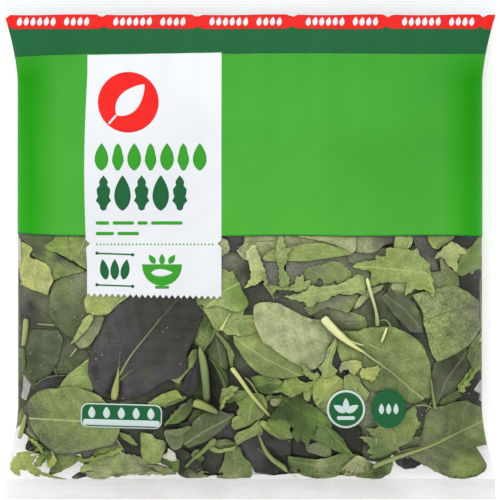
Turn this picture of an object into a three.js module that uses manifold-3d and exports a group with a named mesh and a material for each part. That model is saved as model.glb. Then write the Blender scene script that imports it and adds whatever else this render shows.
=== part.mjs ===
// A sealed pillow bag of mixed salad leaves, lying on its back with the printed front up.
// Millimetres, +Z up. X runs across the bag and +Y towards the header seal.
// The origin is on the table, under the middle of the bag.
//
// The bag and what fills it are one solid: a film tube, closed by a flat seal at each end, over
// a heap of leaves. The leaves that press against the clear window stand proud of it.

import * as THREE from "three";
import { mergeVertices } from "three/addons/utils/BufferGeometryUtils.js";
import Module from "manifold-3d";

// Driving dimensions of the bag

const bagWidth = 300; // flat, across the seals
const bagLength = 305;
const bodyWidth = 283.5; // where the filling draws the sides in
const bagDepth = 72; // from the table to the crown
const headerSealDepth = 9;
const footSealDepth = 15;
const sealThickness = 1;
const sealHeight = 15; // the seals hang this far above the table
const sideHeight = 27; // the side folds, in the middle of the bag
const flareLength = 42; // the sides run out to the seals' width over this length
const flareBend = 1.6; // power of the flare's curve
const sideRoundness = 2.9; // powers of the cross-section's curve
const sideSteepness = 0.52;
const endRoundness = 3.2; // power of the lengthwise curve
const backSag = 38; // how far the back would hang below the side folds without a table

// Puckers that run out of each seal, and the slow waves of slack film

const puckerHeight = 2.3;
const puckerReach = 15; // from the seal to the highest point of a pucker
const puckerLengths = [21, 34]; // across the bag, from pucker to pucker
const slackHeight = 0.9;
const slackLength = 95;
const sealWaveHeight = 0.8;
const sealWaveLength = 120;

// The fin seal down the middle of the back

const finWidth = 14;
const finThickness = 1;
const finCover = 0.3; // how far the pressed fin lies inside the flat of the back

// Print, as distances from the header's edge

const redBandFrom = 9;
const darkBandFrom = 17.7;
const greenPanelFrom = 32.4;
const windowFrom = 144.5;
const label = { left: -100.7, right: -18, foot: -28.5 };
const printColours = {
  clear: "#dfe2dc",
  red: "#f6403f",
  dark: "#266a3e",
  green: "#4fb243",
  label: "#f1f6fa",
  shade: "#3c4637", // the dark gaps between the leaves
};

// The window's leaves stand on a face that lies this far below the film

const windowSink = 2.2;
const sinkEdge = 8; // over which that face comes up to the film, at the print
const leafBase = 1; // a leaf's height over the sunk face
const leafStep = 0.55; // each further layer adds this
const leafRoot = 2; // how far a leaf's solid goes down into the heap
const leafDome = 0.5;
const rimShare = 0.955; // leaves stop at this share of the bag's half width

// Leaf outlines: half the width, as a share of its most, at a distance along the midrib from 0 to 1

const leafShapes = {
  // a smooth oval, widest near the stalk
  oval: {
    steps: [8, 4],
    span: (s) => Math.pow(Math.sin(Math.PI * Math.pow(s, 0.82)), 0.62),
  },
  // a narrow blade, pointed at both ends
  blade: {
    steps: [7, 2],
    span: (s) => Math.pow(Math.sin(Math.PI * s), 0.9),
  },
  // pointed lobes that grow towards the tip
  lobed: {
    steps: [17, 2],
    span: (s) => {
      const lobe = 1 - Math.abs(((s * 4.2 + 0.1) % 1) * 2 - 1);
      return (0.22 + 0.78 * lobe) * Math.pow(Math.sin(Math.PI * (0.14 + 0.8 * s)), 0.6);
    },
  },
  // fine teeth all along a broad blade
  toothed: {
    steps: [15, 2],
    span: (s) => {
      const tooth = Math.abs(((s * 5) % 1) * 2 - 1);
      return (0.72 + 0.28 * tooth) * Math.pow(Math.sin(Math.PI * (0.1 + 0.85 * s)), 0.7);
    },
  },
};
const bluntSpan = 0.08; // least half width at a leaf's two ends

const leafColours = {
  deep: "#525b40",
  mid: "#71834b",
  light: "#9aaa62",
  grey: "#8c9a70",
  red: "#4b4748",
  stalk: "#c3cf7f",
};

// The leaves that press against the window: the middle, the length and width, the way from
// stalk to tip in degrees from +X, and the layer, counted from the heap outwards

const pressedLeaves = [
  { kind: "oval", tone: "deep", at: [-127, -62], size: [38, 30], turn: 80, layer: 0 },
  { kind: "oval", tone: "deep", at: [-119, -84], size: [40, 26], turn: 10, layer: 0 },
  { kind: "oval", tone: "deep", at: [-37, -96], size: [44, 30], turn: 120, layer: 0 },
  { kind: "oval", tone: "deep", at: [38, -112], size: [48, 34], turn: 5, layer: 0 },
  { kind: "oval", tone: "deep", at: [104, -84], size: [44, 32], turn: 250, layer: 0 },
  { kind: "oval", tone: "deep", at: [22, -22], size: [50, 28], turn: 170, layer: 0 },
  { kind: "blade", tone: "light", at: [30, 1], size: [62, 14], turn: 2, layer: 0 },
  { kind: "oval", tone: "mid", at: [-111, -36], size: [50, 31], turn: 84, layer: 1 },
  { kind: "oval", tone: "mid", at: [10, -60], size: [46, 30], turn: 152, layer: 1 },
  { kind: "oval", tone: "mid", at: [-14, -117], size: [52, 24], turn: 12, layer: 1 },
  { kind: "oval", tone: "grey", at: [64, -124], size: [40, 20], turn: 190, layer: 1 },
  { kind: "lobed", tone: "light", at: [62, -32], size: [62, 22], turn: 8, layer: 1 },
  { kind: "blade", tone: "light", at: [132, -70], size: [64, 12], turn: 78, layer: 1 },
  { kind: "blade", tone: "light", at: [-131, -15], size: [30, 17], turn: 115, layer: 1 },
  { kind: "oval", tone: "light", at: [-108, 0], size: [36, 19], turn: 186, layer: 1 },
  { kind: "oval", tone: "red", at: [-62, -52], size: [80, 68], turn: 62, layer: 2 },
  { kind: "oval", tone: "mid", at: [120, -43], size: [40, 36], turn: 265, layer: 2 },
  { kind: "lobed", tone: "light", at: [88, -12], size: [54, 30], turn: 182, layer: 2 },
  { kind: "lobed", tone: "light", at: [116, -5], size: [24, 20], turn: 290, layer: 2 },
  { kind: "lobed", tone: "mid", at: [-66, -113], size: [26, 20], turn: 100, layer: 2 },
  { kind: "toothed", tone: "light", at: [-88, -122], size: [54, 13], turn: 175, layer: 2 },
  { kind: "toothed", tone: "light", at: [-132, -124], size: [30, 14], turn: 130, layer: 2 },
  { kind: "oval", tone: "grey", at: [20, -46], size: [52, 34], turn: 158, layer: 3 },
  { kind: "lobed", tone: "mid", at: [-20, -33], size: [46, 28], turn: 128, layer: 3 },
  { kind: "lobed", tone: "light", at: [10, -14], size: [34, 13], turn: 275, layer: 3 },
  { kind: "blade", tone: "light", at: [-99, -51], size: [30, 12], turn: 52, layer: 3 },
  { kind: "blade", tone: "light", at: [-90, -33], size: [28, 16], turn: 10, layer: 3 },
  { kind: "lobed", tone: "light", at: [30, -77], size: [50, 17], turn: 12, layer: 3 },
  { kind: "toothed", tone: "mid", at: [24, -95], size: [34, 30], turn: 345, layer: 3 },
  { kind: "blade", tone: "mid", at: [-35, -106], size: [46, 15], turn: 28, layer: 3 },
  { kind: "oval", tone: "mid", at: [-109, -104], size: [56, 41], turn: 176, layer: 4 },
  { kind: "oval", tone: "mid", at: [80, -69], size: [60, 50], turn: 320, layer: 4 },
  { kind: "lobed", tone: "mid", at: [78, -108], size: [38, 34], turn: 262, layer: 4 },
  { kind: "oval", tone: "mid", at: [112, -112], size: [62, 42], turn: 26, layer: 5 },
];

// Bare stalks that lie against the window: two ends, how far the middle bows out, and the radius

const pressedStalks = [
  { from: [-34, -57], to: [-31, -90], bow: 3, radius: 2.4 },
  { from: [-37, -86], to: [-22, -93], bow: 1, radius: 2.3 },
  { from: [-14, -66], to: [8, -92], bow: -2, radius: 1.7 },
  { from: [2, -98], to: [25, -130], bow: -4, radius: 1.3 },
  { from: [43, -39], to: [60, -55], bow: 0, radius: 2.6 },
  { from: [69, -15], to: [75, -34], bow: 1, radius: 1.4 },
];
const stalkSides = 6;
const stalkSteps = 7;

// Grid steps of the film tube

const frontColumns = 46;
const backColumns = 14;
const bodyRows = 34;

// Places along the bag

const headerEdge = bagLength / 2;
const footEdge = -bagLength / 2;
const headerSealLine = headerEdge - headerSealDepth;
const footSealLine = footEdge + footSealDepth;
const windowEdge = headerEdge - windowFrom;
const bodyMiddle = (headerSealLine + footSealLine) / 2;
const bodyRun = (headerSealLine - footSealLine) / 2;

const clamp = THREE.MathUtils.clamp;
const smoothstep = THREE.MathUtils.smoothstep;

// How far a place on the length lies inside the nearer seal line, and 0 on the seals
function insideSeals(y) {
  return Math.max(0, bodyRun - Math.abs(y - bodyMiddle));
}

// The bag's half width, drawn in where it is full
function halfWidth(y) {
  const flare = Math.pow(1 - clamp(insideSeals(y) / flareLength, 0, 1), flareBend);
  return (bodyWidth + (bagWidth - bodyWidth) * flare) / 2;
}

// 0 at the seals and 1 in the middle of the bag
function fullness(y) {
  return 1 - Math.pow(clamp(Math.abs(y - bodyMiddle) / bodyRun, 0, 1), endRoundness);
}

// 0 at the side folds and 1 in the middle of the bag
function roundness(x, y) {
  const share = clamp(Math.abs(x) / halfWidth(y), 0, 1);
  return Math.pow(1 - Math.pow(share, sideRoundness), sideSteepness);
}

// Height of the line where the front meets the back, along the side folds and over the seals
function foldHeight(x, y) {
  const wave = sealWaveHeight * Math.sin((2 * Math.PI * x) / sealWaveLength);
  const full = fullness(y);
  return sealHeight + (sideHeight - sealHeight) * full + wave * (1 - full);
}

// Puckers rise from each seal and fade into the body
function pucker(x, y) {
  const inside = insideSeals(y) / puckerReach;
  const rise = inside * Math.exp(1 - inside);
  const [short, long] = puckerLengths.map((length) => Math.sin((2 * Math.PI * x) / length));
  return puckerHeight * rise * (0.6 * short + 0.4 * long) * roundness(x, y);
}

// Slow waves of the slack film, running across the bag at a slant
function slack(x, y) {
  const slant = (2 * Math.PI * (x + 0.6 * y)) / slackLength;
  return slackHeight * Math.sin(slant) * fullness(y) * roundness(x, y);
}

function frontHeight(x, y) {
  const rise = bagDepth - sideHeight - sealThickness / 2;
  const crown = rise * fullness(y) * roundness(x, y);
  return foldHeight(x, y) + sealThickness / 2 + crown + pucker(x, y) + slack(x, y);
}

// The back rests on the table wherever it would hang lower
function backHeight(x, y) {
  const hang = backSag * fullness(y) * roundness(x, y);
  return Math.max(0, foldHeight(x, y) - sealThickness / 2 - hang);
}

// How far the heap's own face lies below the film: only behind the clear window
function sinkDepth(x, y) {
  const window = 1 - smoothstep(y, windowEdge - sinkEdge, windowEdge);
  return windowSink * window * Math.min(1, fullness(y) * 2) * roundness(x, y);
}

function heapHeight(x, y) {
  return frontHeight(x, y) - sinkDepth(x, y);
}

// A closed triangle mesh as a solid. The fourth number of every vertex is the mesh's colour
// number, which stays with its faces through the joins.
function solidFrom(manifold, geometry, colourNumber) {
  const bare = geometry.index ? geometry.toNonIndexed() : geometry.clone();
  bare.deleteAttribute("normal");
  bare.deleteAttribute("uv");
  const merged = mergeVertices(bare, 1e-4);
  const places = merged.getAttribute("position");
  const vertProperties = new Float32Array(places.count * 4);
  for (let i = 0; i < places.count; i++) {
    vertProperties.set([places.getX(i), places.getY(i), places.getZ(i), colourNumber], i * 4);
  }
  const triVerts = new Uint32Array(merged.index.array);
  return new manifold.Manifold(new manifold.Mesh({ numProp: 4, vertProperties, triVerts }));
}

// Two faces over one grid of places, joined round the rim. Both faces are split alike.
function plateGeometry(columns, rows, upper, lower) {
  const places = [];
  const faces = [];
  const at = (side, i, j) => side * (columns + 1) * (rows + 1) + j * (columns + 1) + i;
  for (const side of [upper, lower]) {
    for (let j = 0; j <= rows; j++) {
      for (let i = 0; i <= columns; i++) places.push(...side(i / columns, j / rows));
    }
  }
  const quad = (a, b, c, d) => faces.push(a, b, c, a, c, d);
  for (let j = 0; j < rows; j++) {
    for (let i = 0; i < columns; i++) {
      quad(at(0, i, j), at(0, i + 1, j), at(0, i + 1, j + 1), at(0, i, j + 1));
      faces.push(at(1, i, j), at(1, i + 1, j + 1), at(1, i + 1, j));
      faces.push(at(1, i, j), at(1, i, j + 1), at(1, i + 1, j + 1));
    }
  }
  for (let i = 0; i < columns; i++) {
    quad(at(1, i, 0), at(1, i + 1, 0), at(0, i + 1, 0), at(0, i, 0));
    quad(at(0, i, rows), at(0, i + 1, rows), at(1, i + 1, rows), at(1, i, rows));
  }
  for (let j = 0; j < rows; j++) {
    quad(at(0, 0, j), at(0, 0, j + 1), at(1, 0, j + 1), at(1, 0, j));
    quad(at(1, columns, j), at(1, columns, j + 1), at(0, columns, j + 1), at(0, columns, j));
  }
  const geometry = new THREE.BufferGeometry();
  geometry.setAttribute("position", new THREE.Float32BufferAttribute(places, 3));
  geometry.setIndex(faces);
  return geometry;
}

// The rows of the tube: the seals' edges, every print edge, and even steps between
function rowPlaces() {
  const edges = [redBandFrom, darkBandFrom, greenPanelFrom, windowFrom].map((d) => headerEdge - d);
  const evenSteps = Array.from(
    { length: bodyRows + 1 },
    (_, i) => bodyMiddle - bodyRun * Math.sin((Math.PI * (i / bodyRows - 0.5)) * 0.999),
  );
  const near = (bodyRun / bodyRows) * 0.7;
  const kept = evenSteps.filter((y) => edges.every((edge) => Math.abs(edge - y) > near));
  return [headerEdge, headerSealLine, ...edges, ...kept, footSealLine, footEdge]
    .sort((a, b) => a - b)
    .filter((y, i, all) => i === 0 || y - all[i - 1] > 0.2);
}

// The film tube, as rings round the bag, row by row, with a cap at each end
function tubeGeometry() {
  const rows = rowPlaces();
  const spread = (i, count) => Math.sin(Math.PI * (i / count - 0.5));
  const ring = (y) => {
    const half = halfWidth(y);
    const front = Array.from({ length: frontColumns + 1 }, (_, i) => {
      const x = half * spread(i, frontColumns);
      return [x, y, heapHeight(x, y)];
    });
    const back = Array.from({ length: backColumns + 1 }, (_, i) => {
      const x = -half * spread(i, backColumns);
      return [x, y, backHeight(x, y)];
    });
    return [...front, ...back];
  };
  const rings = rows.map(ring);
  const count = rings[0].length;
  const places = rings.flat(2);
  const faces = [];
  for (let j = 0; j + 1 < rings.length; j++) {
    for (let i = 0; i < count; i++) {
      const [a, b] = [j * count + i, j * count + ((i + 1) % count)];
      faces.push(a, b, b + count, a, b + count, a + count);
    }
  }
  // the caps are flat strips between the front and the back
  const outline = rings[0].map(([x, , z]) => new THREE.Vector2(x, z));
  const lastOutline = rings.at(-1).map(([x, , z]) => new THREE.Vector2(x, z));
  const lastStart = (rings.length - 1) * count;
  for (const [a, b, c] of THREE.ShapeUtils.triangulateShape(outline, [])) faces.push(a, b, c);
  for (const [a, b, c] of THREE.ShapeUtils.triangulateShape(lastOutline, [])) {
    faces.push(lastStart + a, lastStart + c, lastStart + b);
  }
  const geometry = new THREE.BufferGeometry();
  geometry.setAttribute("position", new THREE.Float32BufferAttribute(places, 3));
  geometry.setIndex(faces);
  return geometry;
}

// The back's fin seal: proud on the slopes to the seals, and pressed in where the bag rests
function finGeometry() {
  const place = (u, v) => {
    const y = THREE.MathUtils.lerp(footEdge + 1, headerEdge - 1, v);
    return [THREE.MathUtils.lerp(-finWidth / 2, finWidth / 2, u), y];
  };
  const upper = (u, v) => {
    const [x, y] = place(u, v);
    return [x, y, Math.max(finCover * 2, backHeight(x, y) + finCover)];
  };
  const lower = (u, v) => {
    const [x, y] = place(u, v);
    return [x, y, Math.max(finCover, backHeight(x, y) - finThickness)];
  };
  return plateGeometry(1, bodyRows, upper, lower);
}

// A leaf's solid: its blade follows the film, and it is rooted in the heap under it
function leafGeometry({ kind, at, size, turn, layer }) {
  const { steps, span } = leafShapes[kind];
  const [length, width] = size;
  const angle = THREE.MathUtils.degToRad(turn);
  const proud = leafBase + leafStep * layer;
  const place = (u, v) => {
    const along = (u - 0.5) * length;
    const across = (v - 0.5) * width * Math.max(bluntSpan, span(u));
    const x = at[0] + along * Math.cos(angle) - across * Math.sin(angle);
    const y = at[1] + along * Math.sin(angle) + across * Math.cos(angle);
    const most = halfWidth(y) * rimShare;
    return [clamp(x, -most, most), y];
  };
  const upper = (u, v) => {
    const [x, y] = place(u, v);
    const dome = leafDome * (1 - Math.pow(2 * v - 1, 2)) * Math.sin(Math.PI * u);
    return [x, y, heapHeight(x, y) + proud + dome];
  };
  const lower = (u, v) => {
    const [x, y] = place(u, v);
    return [x, y, heapHeight(x, y) - leafRoot];
  };
  return plateGeometry(...steps, upper, lower);
}

// A stalk: a round tube along a bowed line that follows the film
function stalkGeometry({ from, to, bow, radius }) {
  const start = new THREE.Vector2(...from);
  const end = new THREE.Vector2(...to);
  const side = end.clone().sub(start).normalize().rotateAround(new THREE.Vector2(), Math.PI / 2);
  const line = Array.from({ length: stalkSteps + 1 }, (_, i) => {
    const share = i / stalkSteps;
    const spot = start.clone().lerp(end, share).addScaledVector(side, bow * Math.sin(Math.PI * share));
    return new THREE.Vector3(spot.x, spot.y, heapHeight(spot.x, spot.y) + windowSink);
  });
  const section = new THREE.Shape(
    Array.from({ length: stalkSides }, (_, i) => {
      const angle = (2 * Math.PI * (i + 0.5)) / stalkSides;
      return new THREE.Vector2(radius * Math.cos(angle), radius * Math.sin(angle));
    }),
  );
  return new THREE.ExtrudeGeometry(section, {
    steps: stalkSteps,
    extrudePath: new THREE.CatmullRomCurve3(line),
  });
}

// The print's colour at a place on the film
function printColour(x, y, z) {
  const down = headerEdge - y;
  if (down < redBandFrom) return printColours.clear;
  if (down < darkBandFrom) return printColours.red;
  if (down < greenPanelFrom) return printColours.dark;
  const onFront = z > foldHeight(x, y);
  if (onFront && x > label.left && x < label.right && y > label.foot) return printColours.label;
  if (down < windowFrom) return printColours.green;
  return y < footSealLine ? printColours.clear : printColours.shade;
}

// A mesh of the joined solid, with each face in its own colour
function paintedGeometry(solid, toneColours) {
  const { numProp, vertProperties, triVerts } = solid.getMesh();
  const places = [];
  const colours = [];
  for (let i = 0; i < triVerts.length; i += 3) {
    const corners = [0, 1, 2].map((k) => {
      const start = triVerts[i + k] * numProp;
      return vertProperties.subarray(start, start + numProp);
    });
    const middle = [0, 1, 2].map((axis) => corners.reduce((sum, c) => sum + c[axis] / 3, 0));
    const tone = Math.round(corners[0][3]);
    const name = tone === 0 ? printColour(...middle) : toneColours[tone - 1];
    const colour = new THREE.Color(name);
    for (const corner of corners) {
      places.push(corner[0], corner[1], corner[2]);
      colours.push(colour.r, colour.g, colour.b);
    }
  }
  const geometry = new THREE.BufferGeometry();
  geometry.setAttribute("position", new THREE.Float32BufferAttribute(places, 3));
  geometry.setAttribute("color", new THREE.Float32BufferAttribute(colours, 3));
  geometry.computeVertexNormals();
  return geometry;
}

const manifold = await Module();
manifold.setup();

const toneNames = Object.keys(leafColours);
const toneNumber = (tone) => toneNames.indexOf(tone) + 1;

const joined = [
  solidFrom(manifold, finGeometry(), 0),
  ...pressedLeaves.map((leaf) => solidFrom(manifold, leafGeometry(leaf), toneNumber(leaf.tone))),
  ...pressedStalks.map((stalk) => solidFrom(manifold, stalkGeometry(stalk), toneNumber("stalk"))),
].reduce((whole, piece) => whole.add(piece), solidFrom(manifold, tubeGeometry(), 0));

const bag = new THREE.Mesh(
  paintedGeometry(joined, Object.values(leafColours)),
  new THREE.MeshStandardMaterial({ vertexColors: true, roughness: 0.35, metalness: 0 }),
);
bag.name = "bag";

const saladBag = new THREE.Group();
saladBag.add(bag);

export default saladBag;
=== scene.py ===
import math
import bpy
import numpy as np
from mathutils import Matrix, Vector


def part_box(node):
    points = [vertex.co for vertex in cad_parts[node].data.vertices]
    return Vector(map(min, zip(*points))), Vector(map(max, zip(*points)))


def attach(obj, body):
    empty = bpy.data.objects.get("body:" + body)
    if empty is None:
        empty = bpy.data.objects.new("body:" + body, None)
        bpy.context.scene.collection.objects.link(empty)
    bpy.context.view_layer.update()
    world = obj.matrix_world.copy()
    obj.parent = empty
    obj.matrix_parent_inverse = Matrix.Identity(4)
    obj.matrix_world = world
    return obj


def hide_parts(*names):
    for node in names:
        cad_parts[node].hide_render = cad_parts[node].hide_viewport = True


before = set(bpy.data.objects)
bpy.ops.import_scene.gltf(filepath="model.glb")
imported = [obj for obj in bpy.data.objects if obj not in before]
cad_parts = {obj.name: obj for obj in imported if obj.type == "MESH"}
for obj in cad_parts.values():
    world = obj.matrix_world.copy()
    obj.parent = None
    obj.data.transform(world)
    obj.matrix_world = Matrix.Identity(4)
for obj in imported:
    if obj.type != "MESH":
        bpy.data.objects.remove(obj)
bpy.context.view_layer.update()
lowCorner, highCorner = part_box("bag")

# A sealed bag of salad leaves lies on its back. Lengths below are in millimetres, x runs across
# the bag, y towards the header seal and z up. The film's form is the same formulas as the part's.
mm = 0.001

bagForm = {
    "width": (highCorner.x - lowCorner.x) / mm,  # flat, across the seals
    "length": (highCorner.y - lowCorner.y) / mm,
    "bodyWidth": 283.5,  # where the filling draws the sides in
    "depth": 72,
    "headerSeal": 9,
    "footSeal": 15,
    "sealHeight": 15,
    "sideHeight": 27,
    "flareLength": 42,
    "flareBend": 1.6,
    "sideRoundness": 2.9,
    "sideSteepness": 0.52,
    "endRoundness": 3.2,
    "backSag": 38,
    "puckerHeight": 2.3,
    "puckerReach": 15,
    "puckerLengths": (21, 34),
    "puckerShares": (0.6, 0.4),
    "backPuckers": 0.5,  # how strong they are on the back
    "slackHeight": 0.9,
    "slackLength": 95,
    "slackSlant": 0.6,
    "sealWave": 0.8,
    "sealWaveLength": 120,
    "filmGap": 0.12,  # half the thickness of the two films in a seal
    "gapRise": 8,  # how fast the films part beside a side fold
    "crownSlack": 0.5,  # kept off the depth for the puckers and waves
}
headerEdge = bagForm["length"] / 2
footEdge = -headerEdge
headerSealLine = headerEdge - bagForm["headerSeal"]
footSealLine = footEdge + bagForm["footSeal"]
bodyMiddle = (headerSealLine + footSealLine) / 2
bodyRun = (headerSealLine - footSealLine) / 2


def insideSeals(y):  # how far y lies inside the nearer seal line, 0 on the seals
    return np.maximum(0, bodyRun - np.abs(y - bodyMiddle))


def halfWidth(y):  # body width, plus a power curve out to the seals' width over the flare's length
    flare = (1 - np.clip(insideSeals(y) / bagForm["flareLength"], 0, 1)) ** bagForm["flareBend"]
    return (bagForm["bodyWidth"] + (bagForm["width"] - bagForm["bodyWidth"]) * flare) / 2


def fullness(y):  # 0 at the seals, 1 in the middle: one minus a power of the share from the middle
    return 1 - np.clip(np.abs(y - bodyMiddle) / bodyRun, 0, 1) ** bagForm["endRoundness"]


def roundness(x, y):  # 0 at the side folds, 1 in the middle: a superellipse across the bag
    share = np.clip(np.abs(x) / halfWidth(y), 0, 1)
    return (1 - share ** bagForm["sideRoundness"]) ** bagForm["sideSteepness"]


def foldHeight(x, y):  # the seals hang low and a little wavy, the side folds rise in the middle
    wave = bagForm["sealWave"] * np.sin(2 * np.pi * x / bagForm["sealWaveLength"])
    full = fullness(y)
    rise = bagForm["sideHeight"] - bagForm["sealHeight"]
    return bagForm["sealHeight"] + rise * full + wave * (1 - full)


def puckers(x, y):  # two sines across, rising from each seal and fading into the body
    inside = insideSeals(y) / bagForm["puckerReach"]
    waves = sum(share * np.sin(2 * np.pi * x / length)
                for share, length in zip(bagForm["puckerShares"], bagForm["puckerLengths"]))
    rise = inside * np.exp(1 - inside)
    return bagForm["puckerHeight"] * rise * waves * roundness(x, y)


def slackWaves(x, y):  # one slow sine across the bag at a slant
    slant = 2 * np.pi * (x + bagForm["slackSlant"] * y) / bagForm["slackLength"]
    return bagForm["slackHeight"] * np.sin(slant) * fullness(y) * roundness(x, y)


crinkleForm = {
    "height": 0.35,  # fine folds next to the seals
    "reach": 7,
    "lengths": (6.3, 9.7, 14.9),
    "fan": 0.12,  # how far they spread over the fan's run
    "fanRun": 6,
    "sideFade": 3,
    "ribHeight": 0.1,  # the ribs pressed into both seals
    "ribLength": 2.3,
    "ribMargin": 0.6,
    "dentHeight": 0.45,  # shallow dents of the window film
    "dentLengths": (23, 31, 17),
    "dentSlants": (0.3, 0.2, 0.7),
    "dentShare": 0.6,
}


def crinkles(x, y):  # sines that fan out of the seals, plus a product of sines over the body
    inside = insideSeals(y) / crinkleForm["reach"]
    rise = inside * np.exp(1 - inside)
    spread = x + crinkleForm["fan"] * x * inside / crinkleForm["fanRun"]
    folds = sum(np.sin(2 * np.pi * spread / length + 2 * length)
                for length in crinkleForm["lengths"]) / 3
    first, second, third = crinkleForm["dentLengths"]
    right, back, down = crinkleForm["dentSlants"]
    dents = (np.sin(2 * np.pi * (x + right * y) / first) * np.sin(2 * np.pi * (y - back * x) / second)
             + 0.5 * np.sin(2 * np.pi * (down * x - y) / third))
    full = fullness(y) * roundness(x, y)
    sideFade = np.minimum(1, crinkleForm["sideFade"] * roundness(x, y))
    return (crinkleForm["height"] * rise * folds * sideFade
            + crinkleForm["dentHeight"] * dents * full ** 2 * crinkleForm["dentShare"])


def sealRibs(y):  # a sine along the bag, on the seals alone
    onSeal = (insideSeals(y) <= 0) & (np.abs(y) < headerEdge - crinkleForm["ribMargin"])
    return crinkleForm["ribHeight"] * np.sin(2 * np.pi * y / crinkleForm["ribLength"]) * onSeal


def frontHeight(x, y):  # the folds' height, plus the crown and all the waves
    rise = bagForm["depth"] - bagForm["sideHeight"] - bagForm["crownSlack"]
    crown = rise * fullness(y) * roundness(x, y)
    return foldHeight(x, y) + crown + puckers(x, y) + slackWaves(x, y) + crinkles(x, y) + sealRibs(y)


def backHeight(x, y):  # hangs below the folds, or lies on the table
    hang = bagForm["backSag"] * fullness(y) * roundness(x, y)
    return np.maximum(0, foldHeight(x, y) - hang - bagForm["backPuckers"] * puckers(x, y) + sealRibs(y))


def filmPoint(t, y):
    # t runs once round the tube: 0 to 1 over the front from left to right, 1 to 2 over the back.
    # x is minus the half width times the cosine of pi t, and z is the front's or the back's height.
    t, y = np.broadcast_arrays(np.asarray(t, float), np.asarray(y, float))
    x = -halfWidth(y) * np.cos(np.pi * t)
    apart = bagForm["filmGap"] * np.minimum(1, bagForm["gapRise"] * np.abs(np.sin(np.pi * t)))
    front = frontHeight(x, y) + apart
    back = np.maximum(0, backHeight(x, y) - apart)
    z = np.where(np.sin(np.pi * t) >= 0, front, back)
    return np.stack([x, y, z], axis=-1)


def filmNormal(t, y):  # the cross product of the steps round and along the tube, by differences
    t, y = np.broadcast_arrays(np.asarray(t, float), np.asarray(y, float))
    turnStep, lengthStep = 0.002, 0.5
    around = filmPoint(t + turnStep, y) - filmPoint(t - turnStep, y)
    along = filmPoint(t, y + lengthStep) - filmPoint(t, y - lengthStep)
    normal = np.cross(around, along)
    return normal / np.maximum(np.linalg.norm(normal, axis=-1, keepdims=True), 1e-9)


def filmFrame(t, y):
    return filmPoint(t, y), filmNormal(t, y)


def turnAt(x, y):  # the t of a place on the front, seen from above
    nearFold = 0.9995
    return np.arccos(np.clip(-x / halfWidth(y), -nearFold, nearFold)) / np.pi


print("bag form:", [round(v, 1) for v in (bagForm["width"], bagForm["length"], bagForm["depth"])])


# Meshes

def gridQuads(rows, columns, wrap=False, start=0, flip=False):
    # the quads between neighbouring places of a grid
    i = np.arange(rows - 1)[:, None]
    j = np.arange(columns if wrap else columns - 1)[None, :]
    right = (j + 1) % columns
    a, b = i * columns + j, i * columns + right
    c, d = (i + 1) * columns + right, (i + 1) * columns + j
    order = (a, d, c, b) if flip else (a, b, c, d)
    return start + np.stack(np.broadcast_arrays(*order), axis=-1).reshape(-1, 4)


def plateQuads(rows, columns, wrap=False):
    # an outer and an inner grid, joined round the rim. Rows run along +y and columns round the
    # tube, so that the outer face's normal points out.
    count = rows * columns
    faces = [gridQuads(rows, columns, wrap), gridQuads(rows, columns, wrap, count, flip=True)]
    j = np.arange(columns if wrap else columns - 1)
    right = (j + 1) % columns
    last = (rows - 1) * columns
    faces.append(np.stack([right, j, count + j, count + right], axis=-1))
    faces.append(np.stack([last + j, last + right, count + last + right, count + last + j], axis=-1))
    if not wrap:
        i = np.arange(rows - 1) * columns
        end = columns - 1
        faces.append(np.stack([i, i + columns, count + i + columns, count + i], axis=-1))
        faces.append(np.stack([i + end + columns, i + end, count + i + end,
                               count + i + end + columns], axis=-1))
    return np.concatenate(faces)


def newStore():  # what one joined mesh is gathered in
    return {"places": [], "quads": [], "caps": [], "tint": [], "spot": [], "count": 0}


def addFaces(store, places, quads, caps=(), tint=None, spot=None):  # one part of a joined mesh
    places = places.reshape(-1, 3)
    store["places"].append(places)
    store["quads"].append(quads + store["count"])
    store["caps"] += [[int(k) + store["count"] for k in cap] for cap in caps]
    if tint is not None:
        store["tint"].append(np.broadcast_to(tint, (len(places), 4)))
        store["spot"].append(spot.reshape(-1, 3))
    store["count"] += len(places)


def addPlate(store, outer, inner, wrap=False):
    places = np.concatenate([outer.reshape(-1, 3), inner.reshape(-1, 3)])
    addFaces(store, places, plateQuads(*outer.shape[:2], wrap))


def makePiece(name, store, material, backShare=None):
    # a store as one mesh in metres, with the attributes that its material reads
    places = np.concatenate(store["places"]) * mm
    faces = np.concatenate(store["quads"]).tolist() + store["caps"]
    mesh = bpy.data.meshes.new(name)
    mesh.from_pydata(places, [], faces)
    mesh.polygons.foreach_set("use_smooth", np.full(len(faces), True))
    if backShare is not None:
        mesh.attributes.new("backShare", "FLOAT", "POINT").data.foreach_set("value", backShare.ravel())
    if store["tint"]:
        tint = np.concatenate(store["tint"]).astype(np.float32)
        mesh.attributes.new("leafTint", "FLOAT_COLOR", "POINT").data.foreach_set("color", tint.ravel())
        spot = np.concatenate(store["spot"]).astype(np.float32)
        mesh.attributes.new("leafSpot", "FLOAT_VECTOR", "POINT").data.foreach_set("vector", spot.ravel())
    mesh.update()
    piece = bpy.data.objects.new(name, mesh)
    bpy.context.scene.collection.objects.link(piece)
    mesh.materials.append(material)
    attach(piece, "root")
    return piece


# Colours and materials

def linear(red, green, blue):  # a screen colour of 0 to 255 as linear light
    share = np.array([red, green, blue]) / 255
    return tuple(np.where(share <= 0.04045, share / 12.92, ((share + 0.055) / 1.055) ** 2.4))


def newMaterial(name, values):  # a material, its node tree and its shader with these values
    material = bpy.data.materials.new(name)
    material.use_nodes = True
    shader = material.node_tree.nodes["Principled BSDF"]
    for key, value in values.items():
        shader.inputs[key].default_value = (*value, 1) if isinstance(value, tuple) else value
    return material, material.node_tree, shader


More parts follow.
